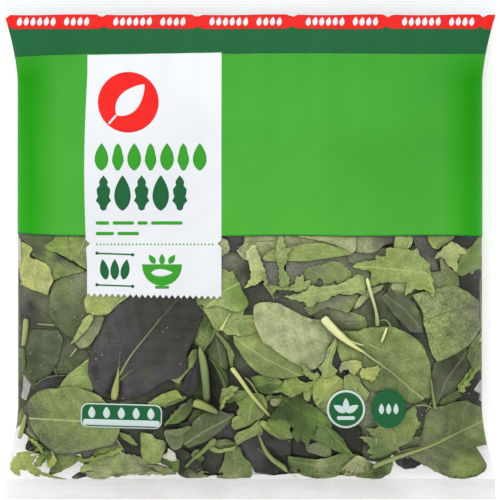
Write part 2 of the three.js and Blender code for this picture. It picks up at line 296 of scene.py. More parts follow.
def addNode(tree, kind, values=None, source=None, **settings):
    # source goes to the first socket, which is the vector of a texture
    node = tree.nodes.new(kind)
    for key, value in settings.items():
        setattr(node, key, value)
    for key, value in (values or {}).items():
        node.inputs[key].default_value = value
    if source is not None:
        tree.links.new(source, node.inputs[0])
    return node


def mathNode(tree, operation, first, second=None, third=None, clamp=False):
    node = addNode(tree, "ShaderNodeMath", operation=operation, use_clamp=clamp)
    for socket, value in zip(node.inputs, (first, second, third)):
        if isinstance(value, (int, float)):
            socket.default_value = value
        elif value is not None:
            tree.links.new(value, socket)
    return node.outputs[0]


def times(tree, first, second, clamp=False):
    return mathNode(tree, "MULTIPLY", first, second, clamp=clamp)


def mixColours(tree, share, first, second, blend="MIX"):
    node = addNode(tree, "ShaderNodeMix", data_type="RGBA", blend_type=blend)
    for socket, value in zip((node.inputs[0], node.inputs[6], node.inputs[7]), (share, first, second)):
        if isinstance(value, (int, float)):
            socket.default_value = value
        elif isinstance(value, tuple):
            socket.default_value = (*value[:3], 1)
        else:
            tree.links.new(value, socket)
    return node.outputs[2]


def rampNode(tree, source, low, high):  # 0 below low, 1 above high
    return addNode(tree, "ShaderNodeMapRange", {"From Min": low, "From Max": high}, source).outputs["Result"]


def noiseNode(tree, place, size, detail):
    return addNode(tree, "ShaderNodeTexNoise", {"Scale": size, "Detail": detail}, place).outputs[0]


def cellNode(tree, place, size, feature="F1"):  # how far from a cell's middle, or from its edge
    return addNode(tree, "ShaderNodeTexVoronoi", {"Scale": size}, place, feature=feature).outputs["Distance"]


def addRelief(tree, shader, height, strength, distance, invert=False):
    bump = addNode(tree, "ShaderNodeBump", {"Strength": strength, "Distance": distance}, invert=invert)
    tree.links.new(height, bump.inputs["Height"])
    tree.links.new(bump.outputs[0], shader.inputs["Normal"])


def objectPlace(tree):  # metres from the origin, on the object
    return addNode(tree, "ShaderNodeTexCoord").outputs["Object"]


def partsOf(tree, vector):
    return addNode(tree, "ShaderNodeSeparateXYZ", source=vector).outputs


def leafAttributes(tree):  # the tint's outputs, and the place on the leaf
    tint = addNode(tree, "ShaderNodeAttribute", attribute_name="leafTint")
    spot = addNode(tree, "ShaderNodeAttribute", attribute_name="leafSpot")
    return tint.outputs, spot.outputs["Vector"]


printFilm = {
    "red": (250, 48, 44),
    "darkGreen": (43, 108, 66),
    "green": (66, 168, 54),
    "paleGreen": (91, 193, 70),
    "paleDown": (0.125, 0.0),  # metres up the bag between which the panel turns paler
    "downShare": 0.65,
    "edgeShadeUp": (0.132, 0.104),  # and between which painted shade on its side edges sets in
    "white": (244, 248, 252),
    "badgeWhite": (220, 236, 234),
    "brightGreen": (66, 170, 52),
    "exposure": 1.35,  # how bright the light makes a white of 1
    "gloss": 0.004,  # what the film's shine adds
    "edgeShadeFrom": 0.116,  # metres from the middle, where painted shade towards the side folds starts
    "edgeShadeTo": 0.134,
    "edgeShadeTone": (0.24, 0.795, 0.075),
    "roughness": 0.42,
    "patchSize": 13,  # per metre, of the slow change of tone
    "patchRange": (0.32, 0.62),  # of the noise, from one tone to the other
    "plainLift": 1.08,  # how much lighter the other tone is where none is given
    "creaseSize": 60,
    "creaseHeight": 0.00025,
    "creaseStrength": 0.35,
    "shine": 0.04,
}


def inkTone(colour):  # the base colour that shows as a screen colour in this light
    return (np.array(linear(*colour)) - printFilm["gloss"]) / printFilm["exposure"]


def printMaterial(name, colour, light=None):
    # the ink's colour turns slowly, by a noise, towards a lighter one. Where that one is given, it
    # also turns to it down the bag, and takes painted shade towards the side folds. A fine noise gives the
    # film its creases.
    look = printFilm
    material, tree, shader = newMaterial(name, {"Roughness": look["roughness"],
                                                "Specular IOR Level": look["shine"]})
    place = objectPlace(tree)
    share = rampNode(tree, noiseNode(tree, place, look["patchSize"], 2.0), *look["patchRange"])
    base = inkTone(colour)
    if light:
        x, y = partsOf(tree, place)[:2]
        down = times(tree, rampNode(tree, y, *look["paleDown"]), look["downShare"])
        share = mathNode(tree, "ADD", times(tree, share, 1 - look["downShare"]), down)
        ink = mixColours(tree, share, tuple(base), tuple(inkTone(light)))
        # painted shade on the panel's side edges, near the folds
        aside = rampNode(tree, mathNode(tree, "ABSOLUTE", x), look["edgeShadeFrom"], look["edgeShadeTo"])
        up = rampNode(tree, y, *look["edgeShadeUp"])
        edgeShaded = mixColours(tree, 1.0, ink, look["edgeShadeTone"], "MULTIPLY")
        ink = mixColours(tree, times(tree, aside, up), ink, edgeShaded)
    else:
        ink = mixColours(tree, share, tuple(base), tuple(base * look["plainLift"]))
    tree.links.new(ink, shader.inputs["Base Color"])
    addRelief(tree, shader, noiseNode(tree, place, look["creaseSize"], 3.0),
              look["creaseStrength"], look["creaseHeight"])
    return material


clearFilm = {
    "colour": (0.62, 0.61, 0.615),
    "haze": 0.008,  # share of light that the bare window film stops
    "milk": 0.11,  # more of it in the milky patch near the print, which paints a soft reflection of the film
    "sheenCentre": (0.05, -0.01, 0),
    "sheenReach": (0.075, 0.02),  # metres from there, from none to all
    "cloudSize": 40,  # per metre, of the clouds in the painted reflection patch and in the corner milkiness
    "corner": 0.3,  # more of it on the back, in the two empty foot corners
    "cornerAcross": (0.104, 0.126),
    "cornerDown": (-0.080, -0.112),
    "footSeal": 0.34,
    "headerSeal": 0.43,
    "headerTone": (0.63, 0.73, 0.75),
    "sealShade": (0.55, 0.53, 0.52),
    "streakStretch": (9, 130, 1),  # per metre across the bag, along it and up
    "streakTurn": 0.03,
    "streakShare": 0.16,
    "facetSize": 42,  # per metre, of the patches of shade in a seal
    "facetRange": (0.5, 0.62),
    "roughness": 0.22,
    "edge": 0.06,  # painted reflection: what a slant look adds
    "edgeBlend": 0.2,
}


def clearMaterial(name, seal=0, tone=clearFilm["colour"], shade=clearFilm["sealShade"]):
    # clear film: its share of light stopped is a haze, plus a milky patch round one place that paints a soft
    # reflection, plus a milkiness of the back in the foot corners, plus a painted reflection that a slant
    # look adds. A seal is milky all over, with streaks across the bag and patches of painted shade.
    look = clearFilm
    material, tree, shader = newMaterial(name, {"Base Color": tone, "Roughness": look["roughness"]})
    place = objectPlace(tree)
    if seal:
        stretch = addNode(tree, "ShaderNodeMapping", {"Scale": look["streakStretch"],
                                                      "Rotation": (0, 0, look["streakTurn"])}, place)
        streaks = noiseNode(tree, stretch.outputs[0], 1.0, 2.0)
        # patches of painted shade in the seal
        facetShade = rampNode(tree, noiseNode(tree, place, look["facetSize"], 1.0), *look["facetRange"])
        tree.links.new(mixColours(tree, facetShade, tone, shade), shader.inputs["Base Color"])
        stopped = mathNode(tree, "MULTIPLY_ADD", streaks, look["streakShare"],
                           seal - look["streakShare"] / 2)
    else:
        # the milky patch round one place paints a soft reflection of the film
        away = addNode(tree, "ShaderNodeVectorMath", source=place, operation="DISTANCE")
        away.inputs[1].default_value = look["sheenCentre"]
        near = rampNode(tree, away.outputs["Value"], *look["sheenReach"])
        cloud = noiseNode(tree, place, look["cloudSize"], 3.0)
        stopped = mathNode(tree, "MULTIPLY_ADD", times(tree, near, cloud), 2 * look["milk"],
                           look["haze"])
        x, y = partsOf(tree, place)[:2]
        aside = rampNode(tree, mathNode(tree, "ABSOLUTE", x), *look["cornerAcross"])
        corner = times(tree, aside, rampNode(tree, y, *look["cornerDown"]))
        back = addNode(tree, "ShaderNodeAttribute", attribute_name="backShare").outputs["Fac"]
        corner = times(tree, times(tree, times(tree, corner, back), cloud), 2 * look["corner"])
        stopped = mathNode(tree, "ADD", stopped, corner)
    # painted reflection: the film stops more light at a slant look
    slant = addNode(tree, "ShaderNodeLayerWeight", {"Blend": look["edgeBlend"]})
    rim = times(tree, slant.outputs["Fresnel"], look["edge"])
    tree.links.new(mathNode(tree, "ADD", stopped, rim, clamp=True), shader.inputs["Alpha"])
    return material


# the folds' pale tone is layered film with a painted highlight
foldLook = {
    "colour": (0.72, 0.71, 0.715),
    "roughness": 0.3,
    "cloudSize": 120,  # per metre
    "cloudRange": (0.1, 1.0),
    "most": 0.75,  # share of light that the thickest place stops
}


def creaseMaterial(name):
    # a glossy fold of the film: its share of light stopped is a fine noise
    look = foldLook
    material, tree, shader = newMaterial(name, {"Base Color": look["colour"],
                                                "Roughness": look["roughness"]})
    cloud = noiseNode(tree, objectPlace(tree), look["cloudSize"], 3.0)
    share = rampNode(tree, cloud, *look["cloudRange"])
    tree.links.new(times(tree, share, look["most"]), shader.inputs["Alpha"])
    return material


leafLook = {
    "exposure": 1.36,
    "shine": 0.15,
    "veinSpacing": 0.115,  # per millimetre: one side vein about every 9 mm
    "veinSlant": 0.75,
    "veinWander": 0.16,  # size of the noise that bends them, per millimetre
    "sideWidth": (0.05, 0.01),  # share of the spacing from a side vein, from none to all
    "sideShare": 0.45,
    "midribWidth": (0.75, 0.2),  # millimetres from the midrib, from none to all
    "netSize": 0.36,  # cells of the fine vein net, per millimetre
    "netWidth": (0.09, 0.0),
    "netShare": 0.17,
    "paleGain": 1.6,
    "darkGain": -2.2,
    "darkMain": 0.6,  # share of the main veins and of the net in dark veins
    "darkNet": 0.7,
    "patch": (0.09, 0.34, 0.62, 3.0),  # noises: size per millimetre, range, detail
    "patchTone": (0.80, 0.83, 0.76),
    "mottle": (0.55, 0.36, 0.56, 5.0),
    "mottleTone": (0.82, 0.85, 0.79),
    "grain": (0.95, 0.32, 0.68, 4.0),
    "grainTone": (0.9, 0.95, 0.7),
    "grainShare": 0.8,
    "veinPale": (0.50, 0.58, 0.24),
    "veinDark": (0.03, 0.045, 0.02),
    "glintSize": 0.17,  # painted glints on specks of water, per millimetre
    "glintRadius": (0.075, 0.04),
    "glintShare": 0.55,
    "glintTone": (0.62, 0.68, 0.5),
    "reliefShare": 0.4,  # of the net and of the grain in the relief
    "reliefStrength": 0.6,
    "reliefHeight": 0.0004,
    "roughness": 0.5,
}


def leafMaterial(name):
    # leafSpot holds the place on the leaf in mm along and across the midrib, and a number of the
    # leaf's own. Veins: a thin line where the place across is 0, and where the place along less a
    # share of the place across is a multiple of the spacing; a Voronoi net gives the finest ones.
    # leafTint's fourth number is how pale or dark the veins are, 0.5 for none. Noises, from broad
    # to fine, darken the blade in patches, and Voronoi points paint pale glints on specks of water.
    look = leafLook
    material, tree, shader = newMaterial(name, {"Roughness": look["roughness"],
                                                "Specular IOR Level": look["shine"]})
    tint, spot = leafAttributes(tree)
    own = tint["Color"]
    along, across = partsOf(tree, spot)[:2]

    def cloud(size, low, high, detail):
        return rampNode(tree, noiseNode(tree, spot, size, detail), low, high)

    aside = mathNode(tree, "ABSOLUTE", across)
    phase = mathNode(tree, "SUBTRACT", along, times(tree, aside, look["veinSlant"]))
    wander = cloud(look["veinWander"], 0.0, 1.0, 2.0)
    phase = mathNode(tree, "ADD", times(tree, phase, look["veinSpacing"]), wander)
    sideVein = rampNode(tree, mathNode(tree, "PINGPONG", phase, 0.5), *look["sideWidth"])
    midrib = rampNode(tree, aside, *look["midribWidth"])
    fine = rampNode(tree, cellNode(tree, spot, look["netSize"], "DISTANCE_TO_EDGE"), *look["netWidth"])
    main = mathNode(tree, "MAXIMUM", midrib, times(tree, sideVein, look["sideShare"]))
    paleness = mathNode(tree, "SUBTRACT", tint["Alpha"], 0.5)
    pale = mathNode(tree, "MAXIMUM", main, times(tree, fine, look["netShare"]))
    pale = times(tree, pale, times(tree, paleness, look["paleGain"], clamp=True))
    dark = mathNode(tree, "MAXIMUM", times(tree, main, look["darkMain"]), times(tree, fine, look["darkNet"]))
    dark = times(tree, dark, times(tree, paleness, look["darkGain"], clamp=True))
    patches = mixColours(tree, 1.0, own, look["patchTone"], "MULTIPLY")
    colour = mixColours(tree, cloud(*look["patch"]), patches, own)
    mottled = mixColours(tree, 1.0, colour, look["mottleTone"], "MULTIPLY")
    colour = mixColours(tree, cloud(*look["mottle"]), mottled, colour)
    grain = cloud(*look["grain"])
    colour = mixColours(tree, times(tree, grain, look["grainShare"]), colour, look["grainTone"], "SOFT_LIGHT")
    colour = mixColours(tree, pale, colour, look["veinPale"])
    colour = mixColours(tree, dark, colour, look["veinDark"])
    # painted glints: pale specks where water lies on the blade
    glints = rampNode(tree, cellNode(tree, spot, look["glintSize"]), *look["glintRadius"])
    colour = mixColours(tree, times(tree, glints, look["glintShare"]), colour, look["glintTone"])
    tree.links.new(colour, shader.inputs["Base Color"])
    height = mathNode(tree, "MAXIMUM", sideVein, times(tree, fine, look["reliefShare"]))
    height = mathNode(tree, "ADD", height, times(tree, grain, look["reliefShare"]))
    addRelief(tree, shader, height, look["reliefStrength"], look["reliefHeight"], invert=True)
    return material


stalkLook = {
    "stretch": (0.08, 2.2, 1),  # of the fibres: per millimetre along and round the stalk
    "range": (0.35, 0.65),
    "darker": (0.9, 0.94, 0.74),
    "lighter": (1.14, 1.14, 1.02),
    "reliefStrength": 0.4,
    "reliefHeight": 0.0002,
    "roughness": 0.38,
}


def stalkMaterial(name):
    # pale fibres: a noise drawn out along the stalk
    look = stalkLook
    material, tree, shader = newMaterial(name, {"Roughness": look["roughness"]})
    tint, spot = leafAttributes(tree)
    stretch = addNode(tree, "ShaderNodeMapping", {"Scale": look["stretch"]}, spot)
    fibre = noiseNode(tree, stretch.outputs[0], 1.0, 2.0)
    darker = mixColours(tree, 1.0, tint["Color"], look["darker"], "MULTIPLY")
    lighter = mixColours(tree, 1.0, tint["Color"], look["lighter"], "MULTIPLY")
    tree.links.new(mixColours(tree, rampNode(tree, fibre, *look["range"]), darker, lighter),
                   shader.inputs["Base Color"])
    addRelief(tree, shader, fibre, look["reliefStrength"], look["reliefHeight"])
    return material


coreLook = {
    "cellSize": 55,  # per metre
    "range": (0.0, 0.9),
    "middle": (0.03, 0.045, 0.022),
    "edge": (0.012, 0.016, 0.011),
    "roughness": 0.7,
}


def coreMaterial():
    # painted shade of the heap's dark inside: a dark green that turns nearly black from the middle of each
    # Voronoi cell to its edge
    look = coreLook
    material, tree, shader = newMaterial("heapShade", {"Roughness": look["roughness"]})
    share = rampNode(tree, cellNode(tree, objectPlace(tree), look["cellSize"]), *look["range"])
    tree.links.new(mixColours(tree, share, look["middle"], look["edge"]), shader.inputs["Base Color"])
    return material


# The film

filmGrid = {
    "columns": 150,  # over the front, and as many over the back
    "rows": 190,
    "headerRows": 13,
    "footRows": 19,
    "clearFrom": footEdge + 12.5,  # where the foot seal's film ends
}


def filmTube():
    # rings of the tube, closer together near the seals: half of the way goes by a sine. The back's
    # places mirror the front's, so that makeFilm can close each end with a flat strip.
    n = filmGrid["columns"]
    t = np.concatenate([np.linspace(0, 1, n, endpoint=False), 1 + np.linspace(0, 1, n, endpoint=False)])
    share = np.linspace(-1, 1, filmGrid["rows"])
    y = bodyMiddle + bodyRun * np.sin(share * math.pi / 2) * 0.5 + bodyRun * share * 0.5
    header = np.linspace(headerSealLine, headerEdge, filmGrid["headerRows"])[1:]
    foot = np.linspace(footEdge, footSealLine, filmGrid["footRows"])[:-1]
    return t, np.concatenate([foot, y, header])


def makeFilm():
    # the tube in three pieces, of which the two seals are closed at their outer ends
    t, y = filmTube()
    n = filmGrid["columns"]

    def mirror(k):  # the place on the back behind place k of the front
        return (2 * n - k) % (2 * n)

    footFilm = clearMaterial("footSealFilm", clearFilm["footSeal"])
    headerFilm = clearMaterial("headerSealFilm", clearFilm["headerSeal"], clearFilm["headerTone"],
                               clearFilm["headerTone"])
    window = clearMaterial("windowFilm")
    pieces = []
    low = filmGrid["clearFrom"]
    hair = 1e-6
    spans = (("footSeal", y <= low + hair, footFilm, (True, False)),
             ("filmTube", (y >= low - hair) & (y <= headerSealLine + hair), window, (False, False)),
             ("headerSeal", y >= headerSealLine - hair, headerFilm, (False, True)))
    for name, rows, material, closed in spans:
        places = filmPoint(t[None, :], y[rows][:, None])
        store = newStore()
        count = places.shape[0]
        quads = gridQuads(count, 2 * n, wrap=True)
        i = np.arange(n - 1)
        ends = []
        if closed[0]:
            ends.append(np.stack([i + 1, i, mirror(i), mirror(i + 1)], axis=-1)[1:])
        if closed[1]:
            last = (count - 1) * 2 * n
            ends.append(last + np.stack([i, i + 1, mirror(i + 1), mirror(i)], axis=-1)[1:])
        addFaces(store, places, np.concatenate([quads, *ends]))
        onBack = np.broadcast_to(t > 1, places.shape[:2]).astype(np.float32)
        pieces.append(makePiece(name, store, material, onBack))
    return pieces


filmPieces = makeFilm()
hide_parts("bag")

finSeal = {
    "halfWidth": 7,
    "thickness": 0.24,
    "outerLift": 0.04,
    "innerLift": 0.03,
    "innerFloor": 0.05,
    "rows": 90,
    "columns": 9,
}


def makeFinSeal():
    # the long seal up the middle of the back, folded flat: a strip of the tube's own form, moved
    # out along its normals and never below the table
    form = finSeal
    y = np.linspace(footSealLine, headerSealLine, form["rows"])[:, None]
    v = np.linspace(-1, 1, form["columns"])[None, :]
    t = 1.5 + v * form["halfWidth"] / (np.pi * halfWidth(y))
    t, y = np.broadcast_arrays(t, y)
    place, normal = filmFrame(t, y)
    outer = place + normal * (form["outerLift"] + form["thickness"])
    outer[..., 2] = np.maximum(outer[..., 2], 0)
    inner = place + normal * form["innerLift"]
    inner[..., 2] = np.maximum(inner[..., 2], form["innerFloor"])
    store = newStore()
    addPlate(store, outer, inner)
    return makePiece("finSeal", store, clearMaterial("finSealFilm", clearFilm["footSeal"]))


makeFinSeal()
print("film: tube, two seals and the fin seal")


# The print

printEdges = {
    "redFrom": 9,  # millimetres down from the header edge
    "darkFrom": 17.7,
    "greenFrom": 33.0,
    "windowFrom": 143.8,
    "redDroop": (1.6, 8),  # depth at the left fold and reach
    "darkDroop": (2.4, 34),
    "greenDroop": (-2.0, 26),
    "redTopWave": (0.25, 9),  # height and length over two pi
    "redWave": (0.15, 13),
    "darkWave": (0.15, 21),
    "greenWave": (0.3, 14),
    "lift": 0.10,  # of the ink over the film
    "inkThickness": 0.05,
    "notchDepth": 1.8,
    "notchHalfWidth": 2.4,
    "notchPitch": 55.2,
    "firstNotch": -141.0,
    "edgeLine": 0.55,  # width of the dark line along the panel's foot
    "columns": 420,
}


def notches(x):  # small Vs, one at every pitch
    off = np.abs((x - printEdges["firstNotch"] + printEdges["notchPitch"] / 2)
                 % printEdges["notchPitch"] - printEdges["notchPitch"] / 2)
    return printEdges["notchDepth"] * np.clip(1 - off / printEdges["notchHalfWidth"], 0, 1)


def leftDroop(x, depth, reach):  # an exponential, strongest at the left fold
    return depth * np.exp(-(x + bagForm["width"] / 2) / reach)


def edgeWave(x, height, length):
    return height * np.sin(x / length)


# The edges of the print, from above: each is a height with a slow sine, and some have the droop
# at the left or the notches as well

def redTop(x):
    return headerEdge - printEdges["redFrom"] + edgeWave(x, *printEdges["redTopWave"]) - notches(x)


def redFoot(x):
    droop = leftDroop(x, *printEdges["redDroop"])
    return headerEdge - printEdges["darkFrom"] - droop + edgeWave(x, *printEdges["redWave"]) + notches(x)


def darkFoot(x):
    droop = leftDroop(x, *printEdges["darkDroop"])
    return headerEdge - printEdges["greenFrom"] - droop + edgeWave(x, *printEdges["darkWave"])


def greenFoot(x):
    droop = leftDroop(x, *printEdges["greenDroop"])
    return headerEdge - printEdges["windowFrom"] - droop + edgeWave(x, *printEdges["greenWave"])


def lineFoot(x):
    return greenFoot(x) - printEdges["edgeLine"]


def bandPiece(name, top, foot, rows, material, lift):
    # a closed ring of ink between two edges that are functions of x
    t = np.linspace(0, 2, printEdges["columns"], endpoint=False)
    xs = -bagForm["bodyWidth"] / 2 * np.cos(np.pi * t)
    v = np.linspace(0, 1, rows)[:, None]
    y = foot(xs)[None, :] * (1 - v) + top(xs)[None, :] * v
    t = np.broadcast_to(t, y.shape)
    place, normal = filmFrame(t, y)
    store = newStore()
    addPlate(store, place + normal * lift, place + normal * (lift - printEdges["inkThickness"]), wrap=True)
    return makePiece(name, store, material)


lift = printEdges["lift"]
redInk = printMaterial("redInk", printFilm["red"])
darkInk = printMaterial("darkGreenInk", printFilm["darkGreen"])
greenInk = printMaterial("greenInk", printFilm["green"], printFilm["paleGreen"])
whiteInk = printMaterial("whiteInk", printFilm["white"])
badgeInk = printMaterial("badgeWhiteInk", printFilm["badgeWhite"])
bandPiece("redBand", redTop, redFoot, 9, redInk, lift)
bandPiece("darkGreenBand", redFoot, darkFoot, 16, darkInk, lift)
bandPiece("greenPanel", darkFoot, greenFoot, 84, greenInk, lift)
bandPiece("panelEdgeLine", greenFoot, lineFoot, 3, darkInk, lift)
print("print: bands and panel")


labelForm = {
    "left": -99.0,
    "leftBow": 1.7,
    "right": -17.3,
    "topLeft": 118.6,
    "topRight": 120.0,
    "footLeft": -27.6,
    "footRight": -29.2,
    "tooth": 1.1,  # half the height of the pinked foot's teeth
    "toothPitch": 3.66,
    "sideNotchAt": 3.6,
    "sideNotchDepth": 2.6,
    "sideNotchHalf": 2.1,
    "bowFrom": 0.15,  # share of the height where the left edge's bow starts
    "bowRun": 1.25,
    "rows": 150,
    "toothColumns": 8,
    "toothPhase": 0.25,
    "lift": 0.18,
}


def frontPlate(store, x, y, lift, thickness=printEdges["inkThickness"]):
    # a thin plate over the front film, from a grid of x and y seen from above
    t = turnAt(x, y)
    place, normal = filmFrame(t, y)
    addPlate(store, place + normal * lift, place + normal * (lift - thickness))


def makeLabel():
    # a sine bows the left edge out, each side has one small V, the foot is a zigzag, and straight
    # lines fill what is between them
    form = labelForm
    teeth = round((form["right"] - form["left"]) / form["toothPitch"] * 2) / 2
    u = np.linspace(0, 1, int(teeth * form["toothColumns"]) + 1)[None, :]
    v = np.linspace(0, 1, form["rows"])[:, None]
    zigzag = 1 - 2 * np.abs((u * teeth + form["toothPhase"]) % 1 * 2 - 1)
    foot = form["footLeft"] + (form["footRight"] - form["footLeft"]) * u + form["tooth"] * zigzag
    top = form["topLeft"] + (form["topRight"] - form["topLeft"]) * u
    y = foot * (1 - v) + top * v
    fromNotch = np.abs(y - form["sideNotchAt"]) / form["sideNotchHalf"]
    notch = form["sideNotchDepth"] * np.clip(1 - fromNotch, 0, 1)
    bow = np.sin(np.pi * np.clip(v * form["bowRun"] - form["bowFrom"], 0, 1))
    left = form["left"] - form["leftBow"] * bow + notch
    right = form["right"] - notch
    store = newStore()
    frontPlate(store, left * (1 - u) + right * u, y, form["lift"])
    return makePiece("label", store, whiteInk)


makeLabel()

# Marks printed on the label, the bands and the window: rounded bars, discs and simple leaves

markForm = {
    "spacing": 1.4,  # between places of a mark
    "rows": (10, 34),  # fewest and most
    "columns": (5, 28),
    "corner": 0.3,  # share of a bar's shorter side
    "thickness": 0.06,
    "lifts": {"film": 0.12, "second": 0.19, "band": 0.2, "label": 0.26, "top": 0.33},
}


def markPlate(store, kind, x, y, size, turn=0, level="label"):
    # half widths along the mark's length, carried across a straight line. A leaf's is a power of
    # a sine, a disc's and a bowl's are round, an oak leaf's waves, and a bar has round corners.
    length, width = size
    rows = int(np.clip(length / markForm["spacing"], *markForm["rows"]))
    columns = int(np.clip(width / markForm["spacing"], *markForm["columns"]))
    s = (1 - np.cos(np.linspace(0, np.pi, rows)))[:, None] / 2
    v = np.linspace(-1, 1, columns)[None, :]
    if kind == "bar":
        corner = min(length, width) * markForm["corner"]
        inCorner = np.clip(corner - np.minimum(s, 1 - s) * length, 0, corner)
        half = width / 2 - corner + np.sqrt(np.clip(corner ** 2 - inCorner ** 2, 0, None))
    elif kind == "disc":
        half = width * np.sqrt(np.clip(s * (1 - s), 0, None))
    elif kind == "bowl":
        half = width / 2 * np.sqrt(np.clip(1 - (1 - s) ** 2.2, 0, 1))
    elif kind == "oak":
        half = width / 2 * np.sin(np.pi * s ** 0.8) ** 0.7 * (0.8 + 0.2 * np.cos(2 * np.pi * 3.5 * s))
    else:
        half = width / 2 * np.sin(np.pi * s ** 0.8) ** 0.8
    along = (s - 0.5) * length + 0 * v
    across = v * np.maximum(half, 0.02)
    angle = math.radians(turn)
    px = x + along * math.cos(angle) - across * math.sin(angle)
    py = y + along * math.sin(angle) + across * math.cos(angle)
    # rows run along the mark and columns across it, so they are swapped to face out
    frontPlate(store, px[:, ::-1], py[:, ::-1], markForm["lifts"][level], markForm["thickness"])


# Rows of equal marks on the label: ink, kinds in turn, first place, pitch, count, size, turn
markRows = (
    ("bright", ("leaf", "oak"), (-90.2, 56.3), 9.95, 7, (16.6, 8.4), 90),
    ("dark", ("oak", "leaf"), (-89, 34.4), 11.6, 5, (21.4, 10), 90),
    ("bright", ("disc",), (-93, 3.2), 2.196875, 33, (1.05, 1.05), 0),
)

markBars = {
    "rows": ((-93.6, 16.2, (8, 13, 6, 19)), (-93.6, 9.8, (11, 13))),  # left end, height, lengths
    "width": 2.0,
    "gap": 2.2,
}

# Groups of marks, on the label and then on the window: the group's middle, and below it a line
# for each mark with ink, kind, place from the middle, length and width, turn, and level of ink
markGroups = """
-74 89.6
red disc 0 0 37 37 0 label
white leaf 1.5 1.5 25 13 48 top
white bar -9.5 -10.5 7 1.3 48 top

-82.05 -2.6
dark bar 0 0 21.7 .9 -2 label
dark disc -10.85 .5 2 2 0 label
dark disc 10.85 -.5 2 2 0 label

-82.05 -21.8
dark bar 0 0 21.7 .9 -2 label
dark disc -10.85 .5 2 2 0 label
dark disc 10.85 -.5 2 2 0 label

-88.5 -12
dark leaf 0 0 12.5 5.4 100 label
dark leaf 6.4 0 12.5 5.4 90 label
dark leaf 12.8 0 12.5 5.4 80 label

-53.4 -15.4
bright bowl 0 0 13 24 90 label
bright bar 0 -7.4 8.6 1.8 0 label
bright leaf -6 9.6 6.5 3.6 125 label
bright leaf 0 9.6 6.5 3.6 90 label
bright leaf 6 9.6 6.5 3.6 55 label
white leaf 0 1.4 13 4.6 0 top

-78.3 -101.2
badge bar 0 0 49.4 14.8 -1.6 film
dark bar 0 0 48 13.4 -1.6 second
badge bar 0 -4.1 46.4 3.6 -1.6 label
badge leaf -18 2.4 7 4.4 90 label
badge leaf -9 2.15 7 4.4 90 label
badge leaf 0 1.9 7 4.4 90 label
badge leaf 9 1.65 7 4.4 90 label
badge leaf 18 1.4 7 4.4 90 label

58.4 -97
badge disc 0 0 23.4 23.4 0 film
dark disc 0 0 20.8 20.8 0 second
badge leaf 3.983717 .3 8.4 4.2 30 label
badge leaf 0 2.6 8.4 4.2 90 label
badge leaf -3.983717 .3 8.4 4.2 150 label
badge bar 0 -5.4 11 2.2 0 label

84.4 -96.8
dark disc 0 0 24 21.2 90 film
badge leaf -4.4 0 6.6 3.2 90 band
badge leaf 0 0 6.6 3.2 90 band
badge leaf 4.4 0 6.6 3.2 90 band
"""

bandMarks = {  # small upright leaves in each stretch of the red band
    "from": -140.7,
    "to": 147,
    "pitch": 58.8,
    "stretches": 5,
    "places": (0, 1, 2, 3, 4, 5, 7, 8, 9, 10),
    "step": 4.1,
    "down": 13.2,
    "wave": 0.1,
    "size": (5.4, 3.2),
    "turn": 80,
}


def makeMarks():
    inks = {name: newStore() for name in ("red", "bright", "dark", "white", "badge")}
    for ink, kinds, (x, y), pitch, count, size, turn in markRows:
        for k in range(count):
            markPlate(inks[ink], kinds[k % len(kinds)], x + pitch * k, y, size, turn)
    for x, y, lengths in markBars["rows"]:
        for length in lengths:
            markPlate(inks["bright"], "bar", x + length / 2, y, (length, markBars["width"]))
            x += length + markBars["gap"]
    for group in markGroups.strip().split("\n\n"):
        middle, *plates = group.split("\n")
        x, y = [float(word) for word in middle.split()]
        for plate in plates:
            ink, kind, *numbers, level = plate.split()
            right, up, length, width, turn = [float(word) for word in numbers]
            markPlate(inks[ink], kind, x + right, y + up, (length, width), turn, level)
    band = bandMarks
    for stretch in range(band["stretches"]):
        for k in band["places"]:
            x = band["from"] + band["pitch"] * stretch + band["step"] * k
            y = headerEdge - band["down"] + band["wave"] * math.sin(x)
            if x < band["to"]:
                markPlate(inks["white"], "leaf", x, y, band["size"], band["turn"], "band")
    brightInk = printMaterial("brightGreenInk", printFilm["brightGreen"])
    makePiece("redMarks", inks["red"], redInk)
    makePiece("brightGreenMarks", inks["bright"], brightInk)
    makePiece("darkGreenMarks", inks["dark"], darkInk)
    makePiece("whiteMarks", inks["white"], whiteInk)
    makePiece("badgeMarks", inks["badge"], badgeInk)


makeMarks()
print("print: label and marks")

# Folds of the window film that stand out pale, as layered film with a painted highlight: four corners each,
# in turn

foldGrid = {"rows": 9, "columns": 7, "lift": 0.12}

filmFolds = (
    ((-138, -76), (-133.5, -82), (-134.6, -86.5), (-138.4, -84)),
    ((-138.4, -84), (-134.6, -86.5), (-136.6, -92), (-139.6, -90)),
    ((136.4, -85.5), (141.8, -77.5), (142.8, -85), (140.4, -88)),
    ((140.4, -88), (142.8, -85), (142.6, -93), (139.6, -92)),
    ((-141.2, 9), (-139.8, 6), (-139.4, -6), (-141.4, -14)),
)


def makeFolds():
    # each is a thin plate between its four corners, by shares of the way between them, just
    # above the film
    store = newStore()
    u = np.linspace(0, 1, foldGrid["columns"])[None, :]
    v = np.linspace(0, 1, foldGrid["rows"])[:, None]
    for corners in filmFolds:
        (ax, ay), (bx, by), (cx, cy), (dx, dy) = corners
        x = (ax * (1 - u) + bx * u) * (1 - v) + (dx * (1 - u) + cx * u) * v
        y = (ay * (1 - u) + by * u) * (1 - v) + (dy * (1 - u) + cy * u) * v
        turns = (bx - ax) * (dy - ay) - (by - ay) * (dx - ax)
        if turns < 0:
            x, y = x[:, ::-1], y[:, ::-1]
        frontPlate(store, x, y, foldGrid["lift"])
    return makePiece("filmFolds", store, creaseMaterial("foldedFilm"))


makeFolds()
print("film: folds")
